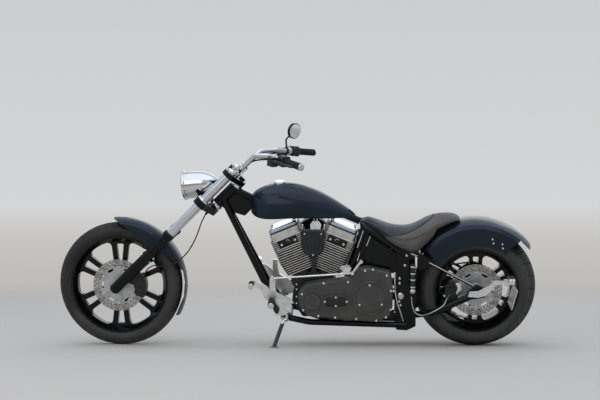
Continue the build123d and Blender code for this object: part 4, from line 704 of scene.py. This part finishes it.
def pierced_ring(centre, edges, openings, around, low, high, arc, side, shift=0, start=0.0):
    """A flat ring in rows between the radii in edges, each cut into cells that have one opening each.
    A cell's outline has points all the way round, and its opening has a point in the same direction from
    its own middle, at the radius of the curve |cos/long|^p + |sin/wide|^p = 1/r^p, so quads join the two.
    Each row is turned by shift parts of an arc, so that the openings slant."""
    walk = np.array([(0, k / arc) for k in range(arc)] + [(k / side, 1) for k in range(side)]
                    + [(1, 1 - k / arc) for k in range(arc)] + [(1 - k / side, 0) for k in range(side)])
    count, cell_turn = len(walk), 2 * pi / around
    k = np.arange(count)

    def wall(first, second):
        """Quads between two closed rows of a cell's points, each named by the point that it starts with."""
        after = (k + 1) % count
        return np.stack([first + k, first + after, second + after, second + k], -1)

    points, faces, base = [], [], 0
    for row, (mid, long, wide, power) in enumerate(openings):
        radius = edges[row] + (edges[row + 1] - edges[row]) * walk[:, 0]
        turn = (walk[:, 1] - 0.5) * cell_turn
        rim = np.stack([radius * np.sin(turn), radius * np.cos(turn) - mid], -1)
        way = np.arctan2(rim[:, 1], rim[:, 0])
        reach = (np.abs(np.cos(way) / long) ** power + np.abs(np.sin(way) / wide) ** power) ** (-1 / power)
        hole = reach[:, None] * np.stack([np.cos(way), np.sin(way)], -1)
        place = start + (np.arange(around) + row * shift / arc)[:, None, None] * cell_turn
        flat = np.stack([rim, hole])[None]
        x = (mid + flat[..., 1]) * np.sin(place) + flat[..., 0] * np.cos(place)
        z = (mid + flat[..., 1]) * np.cos(place) - flat[..., 0] * np.sin(place)
        both = np.stack([np.stack([centre[0] + x, y + 0 * x, centre[2] + z], -1) for y in (low, high)], 1)
        points.append(both.reshape(-1, 3))
        quads = [wall(2 * count, 3 * count), wall(count, 0), wall(3 * count, count)]
        if row == 0:
            quads.append(wall(0, 2 * count)[:arc])
        if row == len(openings) - 1:
            quads.append(wall(0, 2 * count)[arc + side:2 * arc + side])
        cell = np.vstack(quads)
        faces.append((cell[None] + base + np.arange(around)[:, None, None] * 4 * count).reshape(-1, 4))
        base += around * 4 * count
    points, place = np.unique(np.round(np.vstack(points), 3), axis=0, return_inverse=True)
    return outward(points, place.reshape(-1)[np.vstack(faces)])


def brake_disc(end, centre, low, boss_top, boss, bore):
    """The drilled ring, its carrier with six long openings, and the boss that bolts to the hub."""
    high, body, stands_for = low + 5.0, f"{end}_wheel", (f"{end}_brake_disc",)
    holes = [(r, 3.8, 3.8, 2) for r in (112.7, 126.2, 139.3)]
    ring = pierced_ring(centre, (106.0, 119.5, 133.0, DISC_R), holes, 36, low, high, 3, 3, shift=1)
    built(f"{end}_disc_drilled", [ring], "brushed_steel", body, replaces=stands_for)
    carrier = pierced_ring(centre, (bore, 107.0), [(CARRIER_R, 18.0, 7.0, 4)], 6, low - 0.7, high + 0.7,
                           18, 8, start=radians(30))
    hub = lathe(centre, LEFT, [(high, bore), (high, boss), (boss_top - 2, boss), (boss_top, boss - 2),
                               (boss_top, bore + 1), (boss_top - 1, bore)], 48)
    built(f"{end}_disc_carrier", [carrier, hub], "brushed_steel", body, CARRIER_STEEL, stands_for)
    fifths, sixths = np.arange(5) * 2 * pi / 5, radians(60) * np.arange(6)
    for word, spots, radius, height in (
            ("screws", wheel_spot(centre, (boss + bore) / 2, fifths, boss_top), 5.5, 4.5),
            ("buttons", wheel_spot(centre, 101.0, sixths, high + 0.7), 5.0, 2.0)):
        screws(f"{end}_disc_{word}", spots, radius, height, LEFT, "polished_alloy", body, FINISH["chrome"])


brake_disc("front", FRONT_AXLE, 59.5, 72.5, 36.0, 14.0)
brake_disc("rear", REAR_AXLE, 97.5, 114.5, 40.0, 15.0)

# Seat: its half width and the heights of its seam, top and underside, by the distance forward

SEAT_WIDTH = np.array([
    (-930, 40), (-900, 74), (-800, 112), (-690, 150), (-600, 152), (-520, 136), (-420, 74), (-345, 40)])
SEAT_SEAM = np.array([
    (-930, 880), (-800, 797), (-784, 784), (-759, 769), (-731, 743), (-688, 714), (-653, 692), (-617, 674),
    (-582, 665), (-545, 659), (-510, 656), (-484, 655), (-440, 640)])
SEAT_TOP = np.array([
    (-924, 733), (-904, 748), (-818, 759), (-772, 753), (-712, 730), (-640, 697), (-570, 690), (-506, 702),
    (-418, 734), (-352, 744)])
SEAT_UNDER = np.array([
    (-924, 715), (-850, 715), (-780, 695), (-722, 590), (-704, 570), (-632, 568), (-562, 590), (-458, 648),
    (-356, 712)])
SEAT_HALF = 130.0
SEAM_HALF, SEAM_DEPTH = 5.0, 2.6
VIEW_SLOPE = 0.2126  # how fast a line of one picture height falls toward the left of the leaning machine
BOW_R = 40.0
DRAWN_IN, VOXEL, PRESSURE, COVER_FRAMES, COVER_GIVE = 0.003, 0.0062, 4.0, 20, 0.007


def upright(points):
    """The frame's metres back to upright millimetres."""
    return turned(np.asarray(points, float) * 1000 - SHIFT, (1, 0, 0), LEAN)


def read(items, key, width=3, kind=float):
    """One property of all of a mesh's items, in rows of the given width."""
    values = np.empty(len(items) * width, kind)
    items.foreach_get(key, values)
    return values.reshape(-1, width)


def corners_of(piece):
    """Where a piece's points are."""
    return read(piece.data.vertices, "co")


def set_corners(piece, points):
    """Moves a piece's points."""
    piece.data.vertices.foreach_set("co", np.ascontiguousarray(points, np.float32).ravel())
    piece.data.update()


def applied(piece):
    """Leaves the piece with the mesh that its modifiers make, and no modifiers."""
    made = bpy.data.meshes.new_from_object(piece.evaluated_get(bpy.context.evaluated_depsgraph_get()))
    piece.modifiers.clear()
    piece.data = made


def by_length(table, x):
    """A height or width at a distance forward, from a table's rows."""
    return np.interp(x, table[:, 0], table[:, 1])


def padded_seat():
    """The seat's solid drawn in by 3 mm, remeshed, blown up as cloth by at most 7 mm, and smoothed."""
    source = frame["nodes"]["seat"].data
    tris = read(source.loops, "vertex_index", 1, np.int32)
    points, place = np.unique(np.round(read(source.vertices, "co"), 6), axis=0, return_inverse=True)
    tris = place.reshape(-1)[tris.reshape(-1, 3)]
    tris = tris[(tris[:, 0] != tris[:, 1]) & (tris[:, 1] != tris[:, 2]) & (tris[:, 0] != tris[:, 2])]
    normal = np.zeros_like(points)
    face = np.cross(points[tris[:, 1]] - points[tris[:, 0]], points[tris[:, 2]] - points[tris[:, 0]])
    for corner in range(3):
        np.add.at(normal, tris[:, corner], face)
    points = points - unit(normal + 1e-12) * DRAWN_IN
    mesh = bpy.data.meshes.new("seat_padded")
    mesh.from_pydata(points.tolist(), [], tris.tolist())
    pad = shown("seat_padded", mesh)
    remesh = pad.modifiers.new("even", "REMESH")
    remesh.mode = "VOXEL"
    remesh.voxel_size = VOXEL
    remesh.use_smooth_shade = True
    applied(pad)
    start = corners_of(pad)
    cloth = pad.modifiers.new("cover", "CLOTH").settings
    cloth.use_pressure = True
    cloth.uniform_pressure_force = PRESSURE
    cloth.effector_weights.gravity = 0.0
    cloth.quality = 5
    for moment in range(1, COVER_FRAMES + 1):
        bpy.context.scene.frame_set(moment)
    applied(pad)
    bpy.context.scene.frame_set(1)
    moved = corners_of(pad) - start
    far = np.linalg.norm(moved, axis=1, keepdims=True)
    set_corners(pad, start + moved * np.minimum(1, COVER_GIVE / np.maximum(far, 1e-9)))
    pad.modifiers.new("smooth", "SMOOTH").iterations = 4
    applied(pad)
    finer = pad.modifiers.new("finer", "SUBSURF")
    finer.levels = finer.render_levels = 1
    applied(pad)
    return pad


def seam_line(x, y):
    """The seam's height at a distance forward: through the noted points, which stand 130 mm out, and lower
    toward the middle, where the seam runs up and back over the crest in a round bow."""
    return by_length(SEAT_SEAM, x) + VIEW_SLOPE * (np.sqrt(y * y + BOW_R**2) - 136)


def crowned(points):
    """The seat's top drawn down by 5 mm and by a square law toward its sides, 36 mm more at the half width,
    less and less toward its underside. Its width is drawn in to the mean of the widths within 55 mm, which
    rounds its corners seen from above."""
    x, y, z = points.T
    top, under = by_length(SEAT_TOP, x), by_length(SEAT_UNDER, x)
    share = np.clip((z - under) / (top - under), 0, 1)
    down = share * (5 + 36 * np.clip(np.abs(y) / SEAT_HALF, 0, 1) ** 2)
    even = by_length(SEAT_WIDTH, x[:, None] + np.linspace(-55, 55, 12)).mean(1)
    narrower = np.clip(even / by_length(SEAT_WIDTH, x), 0.8, 1.0)
    return np.stack([x, y * narrower, z - down], -1)


pad = padded_seat()
set_corners(pad, parked(crowned(upright(corners_of(pad)))))
spots = upright(corners_of(pad))
above = spots[:, 2] - seam_line(spots[:, 0], spots[:, 1])
# The seam is pressed in along the side panel, and fades out at its ends.
on_side = step(-800, -785, spots[:, 0]) * (1 - step(-500, -485, spots[:, 0]))
dip = SEAM_DEPTH * np.clip(1 - np.abs(above) / SEAM_HALF, 0, 1) ** 2 * on_side
set_corners(pad, corners_of(pad) - read(pad.data.vertices, "normal") * dip[:, None] / 1000)
seat_map = np.stack([spots[:, 0] / 100, above / 100], -1).astype(np.float32)
corner_of = read(pad.data.loops, "vertex_index", 1, np.int32).ravel()
pad.data.uv_layers.new(name="along").data.foreach_set("uv", seat_map[corner_of].ravel())
pad.data.polygons.foreach_set("use_smooth", np.ones(len(pad.data.polygons), bool))
dressed(pad, "seat_leather", replaces=("seat",))
SEAT_SKIN = BVHTree.FromPolygons(upright(corners_of(pad)).tolist(), corner_of.reshape(-1, 4).tolist())


def sewn_line(side, lift, count):
    """Points along the seam on one side, where a line from outside that falls as the seam's plane does meets
    the seat's skin, lifted off it and smoothed along the line."""
    found = []
    way = Vector((0, -side, -VIEW_SLOPE)).normalized()
    for x in np.linspace(-484, -783, count):
        height = seam_line(x, SEAT_HALF) + VIEW_SLOPE * 270
        for _ in range(4):
            spot, normal, _, _ = SEAT_SKIN.ray_cast(Vector((x, side * 400, height)), way)
            if spot is None:
                break
            height += seam_line(x, spot[1]) - spot[2]
        if spot is not None:
            found.append(np.array(spot) + np.array(normal) * lift)
    line = np.array(found)
    for _ in range(3):
        line[1:-1] = line[:-2] / 4 + line[1:-1] / 2 + line[2:] / 4
    return line


def stitches(line, length, radius):
    """A short rounded stitch on every other stretch of a line, as thin lozenges: one ring in the middle of
    each, and a point at either end."""
    middle, run = line[1:-1:2], unit(line[2::2] - line[:-2:2])
    first = unit(np.cross(run, (0.0, 0.0, 1.0)))
    second = np.cross(run, first)
    c, s = circle(5)
    ring = middle[:, None] + radius * (c[:, None] * first[:, None] + s[:, None] * second[:, None])
    tips = np.stack([middle - run * length / 2, middle + run * length / 2], 1)
    points = np.concatenate([ring, tips], 1).reshape(-1, 3)
    j = np.arange(5)
    one = np.vstack([np.stack([j, (j + 1) % 5, j * 0 + 6], -1), np.stack([(j + 1) % 5, j, j * 0 + 5], -1)])
    return outward(points, (one[None] + np.arange(len(middle))[:, None, None] * 7).reshape(-1, 3))


built("seat_piping", [tube(sewn_line(side, 0.2, 90), 2.2, 10) for side, _ in SIDES], "seat_leather",
      finish=FINISH["peg_rubber"])
for side, word in SIDES:
    below = sewn_line(side, 0.6, 181) + np.array([0, side * 1.0, -6.0])
    built(f"seat_stitches_{word}", [stitches(below, 3.4, 0.7)], "seat_leather", finish=FINISH["hose_black"])

# Handlebar and mirror

RIB_R, RIB_FOOT_R = 19.2, 17.6
GRIP = [(-4, 0), (-4, 17.5), (0, RIB_R)]
for rib in np.arange(4.0, 122.0, 5.6):
    GRIP += [(rib, RIB_R), (rib + 3.4, RIB_R), (rib + 4.0, RIB_FOOT_R), (rib + 5.0, RIB_FOOT_R)]
GRIP += [(124, 17.8), (126, 23.0), (130, 23.4), (132.5, 22.0), (132.5, 0)]
BAR_END = [(-8.5, 0), (-8.5, 9), (-7.5, 14.5), (-4, 18.6), (-2, 19.4), (-1, 18.8), (-1, 0)]
SWITCH_BOX = rounded([(-30, -27), (24, -30), (29, -10), (27, 22), (12, 30), (-24, 28), (-31, 10)], 9.0)
WIRE_DROP = np.array([0, 0, 19.0])


def on_bar(d, hand):
    """A point d along the handlebar from a grip's end toward the middle."""
    return (GRIP_END - d * unit(GRIP_DIR)) * (1, hand, 1)


for hand, word in SIDES:
    way = -unit(GRIP_DIR) * (1, hand, 1)
    upward = unit(np.array([0.0, 0.0, 1.0]) - way * way[2])
    frontward = np.cross(upward, way)
    end = on_bar(0, hand)
    view = (end, frontward, upward, way)
    built(f"grip_{word}", [lathe(end, way, GRIP, 36)], "grip_rubber", "fork", replaces=("handlebar_grips",))
    lathed(f"bar_end_{word}", [end], way, 32, BAR_END, body="fork")
    lathed(f"perch_sleeve_{word}", [end], way, 36, band(189, 214, 20, 22.4, 23.6, 2), body="fork")
    boxes = [slab(SWITCH_BOX, 134.0, 158.0, 3.0, view),
             slab(drawn_in(SWITCH_BOX, 0.8), 159.2, 184.0, 3.0, view)]
    built(f"switch_case_{word}", boxes, "control_black", "fork")
    buttons = [on_bar(d, hand) - frontward * 28 + upward * lift
               for d, lift in ((143, 6), (152, -8), (170, 8), (172, -8))]
    screws(f"switch_buttons_{word}", buttons, 4.6, 5.0, -frontward, "control_black", "fork",
           FINISH["peg_rubber"])
    wire = [along_fork(956, -24) + np.array([10, hand * 70, 0]) - WIRE_DROP,
            along_fork(956, -24) + np.array([-70, hand * 126, 70]) - WIRE_DROP]
    wire += [on_bar(d, hand) - WIRE_DROP for d in (300, 262, 222, 186)]
    built(f"bar_wiring_{word}", [tube(curve_through(wire, 40), 4.6, 12)], "hose_black", "fork")
    lathed(f"lever_pivot_{word}", [on_bar(204, hand) + frontward * 26 - upward * 12], upward, 24,
           [(0, 0), (0, 8), (22, 8), (25, 5), (25, 0)], body="fork")

MIRROR_PLACE = np.array([38.0, -318.0, 1196.0])
MIRROR_ALONG, MIRROR_FRONT = unit((0.5, 0.86, 0)), unit((0.86, -0.5, 0.1))
MIRROR_VIEW = (MIRROR_PLACE, MIRROR_ALONG, np.cross(MIRROR_FRONT, MIRROR_ALONG), -MIRROR_FRONT)
built("mirror_glass", [slab(np.stack(circle(56), -1) * (49.5, 40.5), -1.0, 1.4, 0.5, MIRROR_VIEW)],
      body="fork", finish=SILVERED)

# Headlight and fork


def fork_pair(s):
    """The two points s up the fork from the axle, one on each leg."""
    return [along_fork(s, 0.0, y) for y in (FORK_HALF, -FORK_HALF)]


LAMP = ([along_fork(656.0, 134.4)], unit((195.0, 0.0, -22.0)))
STEM = ([along_fork(0.0, -FORK_OFFSET)], STEM_DIR)
lathed("headlight_rim", *LAMP, 72, [
    (-9, 77.6), (-6, 80.5), (0, 81.4), (5, 80.0), (8.5, 76.5), (9.5, 72.5), (8.0, 71.2), (2, 71.4),
    (-6, 74.5)], body="fork")
lathed("headlight_reflector", *LAMP, 56, [
    (-8, 69.0), (-16, 65), (-28, 57), (-40, 45), (-50, 30), (-55, 14), (-57, 14), (-53, 32), (-43, 47.5),
    (-30, 60), (-17, 68), (-9, 70.3)], body="fork")
lathed("headlight_bulb", *LAMP, 24, [
    (-62, 0), (-62, 16), (-54, 16), (-52, 7), (-36, 7), (-32, 5.5), (-30, 0)],
    "lens_glass", "fork", PORCELAIN)
lathed("headlight_shade", *LAMP, 28, [
    (-34, 11.0), (-24, 11.4), (-20, 9.5), (-18.5, 5.0), (-19.5, 4.6), (-21.5, 8.8), (-25, 10.2),
    (-34, 10.0)], body="fork")
lathed("headlight_seam", *LAMP, 72, [
    (-22, 74.4), (-22, 76.2), (-20, 76.8), (-18, 76.2), (-18, 74.4)], body="fork")
lathed("neck_cup_lower", *STEM, 44, band(698.5, 717.5, 34, 35.4, 36.6, 2.5))
lathed("neck_cup_upper", *STEM, 44, band(859.5, 878.5, 34, 35.4, 36.6, 2.5))
lathed("tree_caps", fork_pair(912.0), STEM_DIR, 36, [
    (-2, 0), (-2, 24), (6, 24), (9, 21), (10, 14), (12, 13), (14, 11), (14, 0)], body="fork")
lathed("fork_seals", fork_pair(0.0), STEM_DIR, 36, [
    (422, 26), (422, 32.2), (426, 32.2), (430, 28.5), (433, 25.6), (430, 25.2)], "peg_rubber", "fork")
lathed("lower_tree_collars", fork_pair(0.0), STEM_DIR, 40, [
    (692.5, 26), (692.5, 36.5), (696, 37.5), (701, 36.0), (706, 31.5), (709, 27), (709, 26)], body="fork")
built("fender_stay_bolts", [
    cap_screws([along_fork(s, front * 29.0, y) for s in (232.0, 262.0) for y in (FORK_HALF, -FORK_HALF)],
               7.0, 8.0, front * FORK_FRONT) for front in (1, -1)], body="fork")
# A thin polished ring on each side of each rim's lip: a painted highlight on the gloss black lip.
for end, centre, lip, out in (("front", FRONT_AXLE, 279.0, 53.0), ("rear", REAR_AXLE, 243.5, 121.0)):
    rows = [(out - 1.5, lip), (out + 0.3, lip), (out + 0.9, lip + 0.9), (out + 0.3, lip + 1.8),
            (out - 1.5, lip + 1.8)]
    built(f"{end}_rim_lip_highlight", [lathe(centre, way, rows, 160) for way in (LEFT, RIGHT)],
          "polished_alloy", f"{end}_wheel")
screws("tree_pinch_screws", [along_fork(s, -33.0, y) for y in (96.0, -96.0) for s in (664, 684)],
       6.0, 5.0, -FORK_FRONT, body="fork")

# Screws


def on_face(y, *places):
    """Points on an upright face y to the left, by their distances forward and up."""
    return [(x, y, z) for x, z in places]


AIR_CLEANER = np.array([-92.0, 0.0, 612.0])
CLEANER_TURN = np.arange(3) * 2.094 + 0.5
screws("primary_screws", on_face(
    184.5, (-284, 409), (-378, 474), (-421, 480), (-497, 446), (-520, 359), (-520, 252), (-494, 209),
    (-441, 190), (-330, 199), (-213, 207), (-120, 216), (-36, 250), (-30, 340), (-150, 402)), 6.5, 4.5,
    slot="polished_alloy")
screws("derby_screws", on_face(202.5, (-403, 395), (-347, 284), (-470, 286)), 6.0, 3.5, slot="polished_alloy")
screws("oval_screws", on_face(194.5, (-277, 300), (-157, 300), (-217, 324), (-217, 276)), 6.0, 4.0,
       slot="polished_alloy")
screws("frame_plate_screws", on_face(
    129.5, (-551, 155), (-587, 155), (-576, 264), (-569, 286), (-570, 417), (-570, 389), (-608, 548),
    (-599, 491)), 7.5, 5.5)
screws("fender_screws", on_face(147.0, (-1077, 642), (-1083, 619), (-1132, 614), (-1135, 591)), 5.5, 4.0)
screws("shield_screws", on_face(127.5, (-45, 668), (-137, 668), (-92, 548)), 5.0, 3.0)
screws("foot_casting_screws", on_face(213.5, (128, 420), (122, 372), (44, 258), (136, 312)), 8.5, 6.0,
       slot="polished_alloy")
screws("crankcase_screws", on_face(81.5, (2, 371), (2, 342), (2, 300), (2, 262)), 6.0, 5.0)
screws("cam_cover_screws", on_face(
    -126.0, (-190, 214), (10, 214), (-190, 394), (10, 394), (-90, 208), (-90, 398)), 6.0, 4.5, RIGHT,
    "polished_alloy")
screws("air_cleaner_screws", AIR_CLEANER + np.stack(
    [36 * np.cos(CLEANER_TURN), np.full(3, -209.0), 36 * np.sin(CLEANER_TURN)], -1), 5.5, 3.5, RIGHT)
screws("pulley_screws", wheel_spot(REAR_AXLE, 34.0, radians(36) + np.arange(5) * 2 * pi / 5, -156.0),
       7.0, 6.0, RIGHT, body="rear_wheel")
for side, word in ((1, "front"), (-1, "rear")):
    places = [bore_point(side, 452.0, across, y) for across in (-66, 66) for y in (-46, 0, 62)]
    screws(f"rocker_screws_{word}", places, 6.5, 5.0, bore_point(side, 1.0) - CRANK)
    head = bore_point(side, 358.0, 6.0, 60.0)
    lathed(f"plug_{word}", [head], LEFT, 18, [(0, 0), (0, 11), (8, 11), (9, 6.5), (19, 6.2), (20, 0)],
           finish=PORCELAIN)
    lathed(f"plug_boot_{word}", [head], LEFT, 20, [
        (18, 0), (18, 8.5), (22, 9.5), (30, 9.5), (34, 8), (36, 4), (36, 0)], "peg_rubber")
    screws(f"head_nuts_{word}", [bore_point(side, 352.0, across, 60.0) for across in (-36, 44)], 9.0, 14.0)

# Covers and trim on the engine and frame


def oval(x, z, half_long, half_tall):
    """A long oval: a circle whose two halves are drawn apart, the points between them over |cos| < 1/6."""
    c, s = circle(96)
    apart = np.sign(c) * (half_long - half_tall) * np.clip(np.abs(c) * 6, 0, 1)
    return np.stack([x + apart + c * half_tall, z + s * half_tall], -1)


lathed("derby_rings", [(-408, 0, 322)], LEFT, 72, [
    (193, 91.5), (195.6, 91.5), (196.6, 93), (196, 95.2), (193, 95.6)], "cover_grey", finish=CASE_GREY)
lathed("cover_boss_rings", [(-88, 0, 300)], LEFT, 48, [
    (196, 36.5), (198.6, 36.5), (199.4, 38.2), (198.8, 40.6), (196, 41.4)], "cover_grey", finish=CASE_GREY)
lathed("shield_boss", [(-91, 0, 622)], LEFT, 56, [
    (127, 0), (127, 40), (130, 40), (132, 37.5), (131, 34), (130.4, 31), (131.5, 26), (133.5, 14),
    (134, 0)], "engine_black")
lathed("pivot_cap", [(-576, 0, 316)], LEFT, 36, [
    (128, 0), (128, 19), (134, 19), (137.5, 15.5), (138.5, 9), (136, 7), (136, 0)])
lathed("caliper_puck", [(-849, 0, 357)], LEFT, 40, [
    (126, 0), (126, 25), (134, 25), (136.5, 22.5), (136.5, 12), (135.5, 10), (135.5, 0)], "engine_black")
lathed("fuel_cap_collar", [(96, 0, 0)], UP, 48, [
    (912, 31), (912, 36), (924, 36), (927, 34), (927, 31)], "control_black")
lathed("air_cleaner_insert", [AIR_CLEANER], LEFT, 60, [
    (-205, 0), (-205, 66), (-208, 66), (-210.5, 62), (-209, 56), (-208.4, 48), (-209.6, 20), (-210, 0)])
plate("oval_cover_panel", drawn_in(oval(-217, 300, 73.0, 39.0), 9.0), 194.0, 195.6, 0.8,
      slot="cover_grey", finish=FINISH["engine_black"])
plate("gearbox_wedge", rounded(
    [(-238, 466), (-247, 475), (-284, 482), (-296, 476), (-274, 442), (-250, 440)], 5.0), 74.0, 88.0, 2.5,
    slot="polished_alloy")
plate("post_gusset", rounded(
    [(-338, 690), (-392, 690), (-396, 480), (-330, 476), (-352, 560)], 6.0), 92.0, 104.0, 2.0,
    slot="frame_black", finish=FINISH["box_black"])
plate("belly_plate", rounded(
    [(-30, 232), (-40, 200), (-120, 172), (-560, 160), (-566, 206), (-430, 214)], 12.0), 86.0, 96.0, 2.0,
    slot="engine_black")
plate("caliper_bridge", rounded(
    [(-878, 390), (-904, 394), (-918, 352), (-910, 314), (-890, 298), (-874, 324), (-892, 356)], 7.0),
    125.0, 132.0, 2.0, slot="polished_alloy")
BEHIND_LAMP = (np.array([-1158.0, 244.0, 434.0]), np.array(LEFT), np.array(UP), np.array([-1.0, 0, 0]))
# The lamp's lens on its back face, painted dark blue as a sky reflection.
plate("tail_lamp_lens", rounded([(-45, -17), (45, -17), (45, 17), (-45, 17)], 7.0), 13.5, 18.0, 2.0,
      "body_paint", BEHIND_LAMP, PAINTED_SKY_LENS)
# Chrome rods along the seat posts: a painted highlight on the black tubes.
built("seat_post_highlights", [rod((-369, 111, 683), (-336, 117, 587), 3.4, 12),
                           rod((-408, 114, 652), (-386, 114, 597), 3.4, 12)])
built("fender_strut", [rod((-632, 126, 558), (-676, 126, 539), 6.0, 16)])
# Thin chrome rods on top of the black swingarm braces: a painted highlight.
built("swingarm_brace_highlights", [
    rod((-730, side * 173, 517), (-978, side * 185, 388), 3.4, 12) for side, _ in SIDES])

# Foot rests

PEG_TIP = [(-5, 0), (-4, 7), (1, 13.5), (8, 17.6), (15, 18.2), (22, 16.5), (27, 13), (27, 0)]
FOOT_END = [(-1, 0), (-1, 16.2), (1.5, 16.2), (3, 13.5), (3.4, 6), (3.4, 0)]
TOE_END = [(-1, 0), (-1, 15), (1.5, 15), (3, 12), (3.4, 5), (3.4, 0)]
for side, word in SIDES:
    out = (0, side, 0)
    rings = [lathe((-640, side * 186, level), UP, band(0, 8, 15, 17.2, 18, 1.5), 32)
             for level in (379, 420, 455, 494)]
    built(f"passenger_peg_rings_{word}", rings + [lathe((-640, side * 186, 346), UP, PEG_TIP, 32)])
    built(f"foot_peg_end_{word}", [lathe((135, side * 333, 312), out, FOOT_END, 32),
                                   lathe((246, side * 297, 411), out, TOE_END, 32)])
    for name, x, z, radius, first, last in (
            ("foot", 135, 312, 17.0, 236, 324), ("toe", 246, 411, 13.0, 222, 290)):
        places = [(x, side * y, z) for y in np.arange(first, last - 5, 10.5)]
        lathed(f"{name}_peg_ribs_{word}", places, out, 28,
               band(0, 5.5, radius - 2, radius + 1.4, radius + 2.2, 1), "peg_rubber")

# Stage

floor_mesh = bpy.data.meshes.new("floor")
floor_mesh.from_pydata([(-12, -12, 0), (12, -12, 0), (12, 12, 0), (-12, 12, 0)], [], [(0, 1, 2, 3)])
ground = Finish("floor_finish")
ground.surface(Base_Color=ground.mix(ground.noise(60.0, 6.0, 0.7), (0.535, 0.505, 0.455), (0.60, 0.57, 0.52)),
               Roughness=0.9, Specular_IOR_Level=0.15)
reach = ground.node("ShaderNodeVectorMath", {"operation": "LENGTH"}, {0: ground.place}, output="Value")
floor_mesh.materials.append(ground.thinned(reach.between(3.2, 9.0)))
shown("floor", floor_mesh)


def area_lamp(name, place, target, size, power, tint=(1, 1, 1)):
    """A soft panel of light facing a target."""
    lamp = bpy.data.lights.new(name, "AREA")
    lamp.shape = "RECTANGLE"
    lamp.size, lamp.size_y = size
    lamp.energy = power
    lamp.color = tint
    holder = shown(name, lamp)
    holder.location = place
    holder.rotation_mode = "QUATERNION"
    holder.rotation_quaternion = (Vector(target) - Vector(place)).to_track_quat("-Z", "Y")


area_lamp("sky_panel", (0.3, 1.2, 5.5), (0, 0, 0.4), (9, 6), 100, (1.0, 0.985, 0.96))
area_lamp("left_panel", (2.0, 6.0, 3.6), (0, 0, 0.5), (7, 4), 88, (1.0, 0.98, 0.95))
area_lamp("back_panel", (-1.0, -6.0, 3.2), (0, 0, 0.6), (5, 2.5), 40)

# A sky that every ray sees alike: ground tones below, a pale band at the horizon that brightens overhead.
# Behind the camera, toward the machine's left, a darker band stands along the horizon for the plating.
world = bpy.data.worlds.new("studio")
bpy.context.scene.world = world
sky = Nodes(world)
direction = sky.node("ShaderNodeTexCoord", output="Generated")
leftward, rise = (sky.node("ShaderNodeSeparateXYZ", {}, {0: direction}, output=way) for way in "YZ")


def sky_ramp(*stops):
    """Colours by height: each stop is the upward part of the direction and the colour there."""
    colour = sky.node("ShaderNodeValToRGB", {}, {0: rise * 0.5 + 0.5})
    elements = colour.socket.node.color_ramp.elements
    for _ in stops[2:]:
        elements.new(0.5)
    for element, (up, tone) in zip(elements, stops):
        element.position = (up + 1) / 2
        element.color = (*tone, 1.0)
    return colour


OVERHEAD = ((0.34, (0.46, 0.51, 0.59)), (0.62, (0.66, 0.73, 0.84)), (1.0, (0.60, 0.68, 0.84)))
pale = sky_ramp((-1.0, (0.36, 0.345, 0.32)), (-0.08, (0.46, 0.445, 0.42)), (-0.016, (0.56, 0.55, 0.525)),
                (0.008, (0.66, 0.665, 0.67)), (0.14, (0.60, 0.615, 0.64)), *OVERHEAD)
banded = sky_ramp((-1.0, (0.30, 0.285, 0.26)), (-0.12, (0.40, 0.385, 0.36)), (-0.02, (0.30, 0.29, 0.275)),
                  (0.07, (0.33, 0.33, 0.33)), (0.14, (0.56, 0.58, 0.62)), *OVERHEAD)
sky.fill(sky.tree.nodes["Background"].inputs, {"Color": sky.mix(leftward.between(-0.1, 0.35), pale, banded)})

# Camera at the photograph's angle
CAMERA_PLACE = (np.array([-215.3, 8500.0, 713.3]) + SHIFT) / 1000
CAMERA_TURN = radians(1.359)
CAMERA_TILT = radians(0.703)
PHOTO_WIDTH, FOCAL_PIXELS, SENSOR = 600, 1493.9, 36.0
camera_data = bpy.data.cameras.new("camera")
camera_data.sensor_width = SENSOR
camera_data.lens = FOCAL_PIXELS / PHOTO_WIDTH * SENSOR
camera = shown("camera", camera_data)
look = Vector((sin(CAMERA_TURN) * cos(CAMERA_TILT), -cos(CAMERA_TURN) * cos(CAMERA_TILT), sin(CAMERA_TILT)))
right = Vector((-cos(CAMERA_TURN), -sin(CAMERA_TURN), 0))
up = right.cross(look)
camera.matrix_world = Matrix.Translation(CAMERA_PLACE) @ Matrix((right, up, -look)).transposed().to_4x4()
bpy.context.scene.camera = camera
bpy.context.scene.view_settings.view_transform = "Standard"
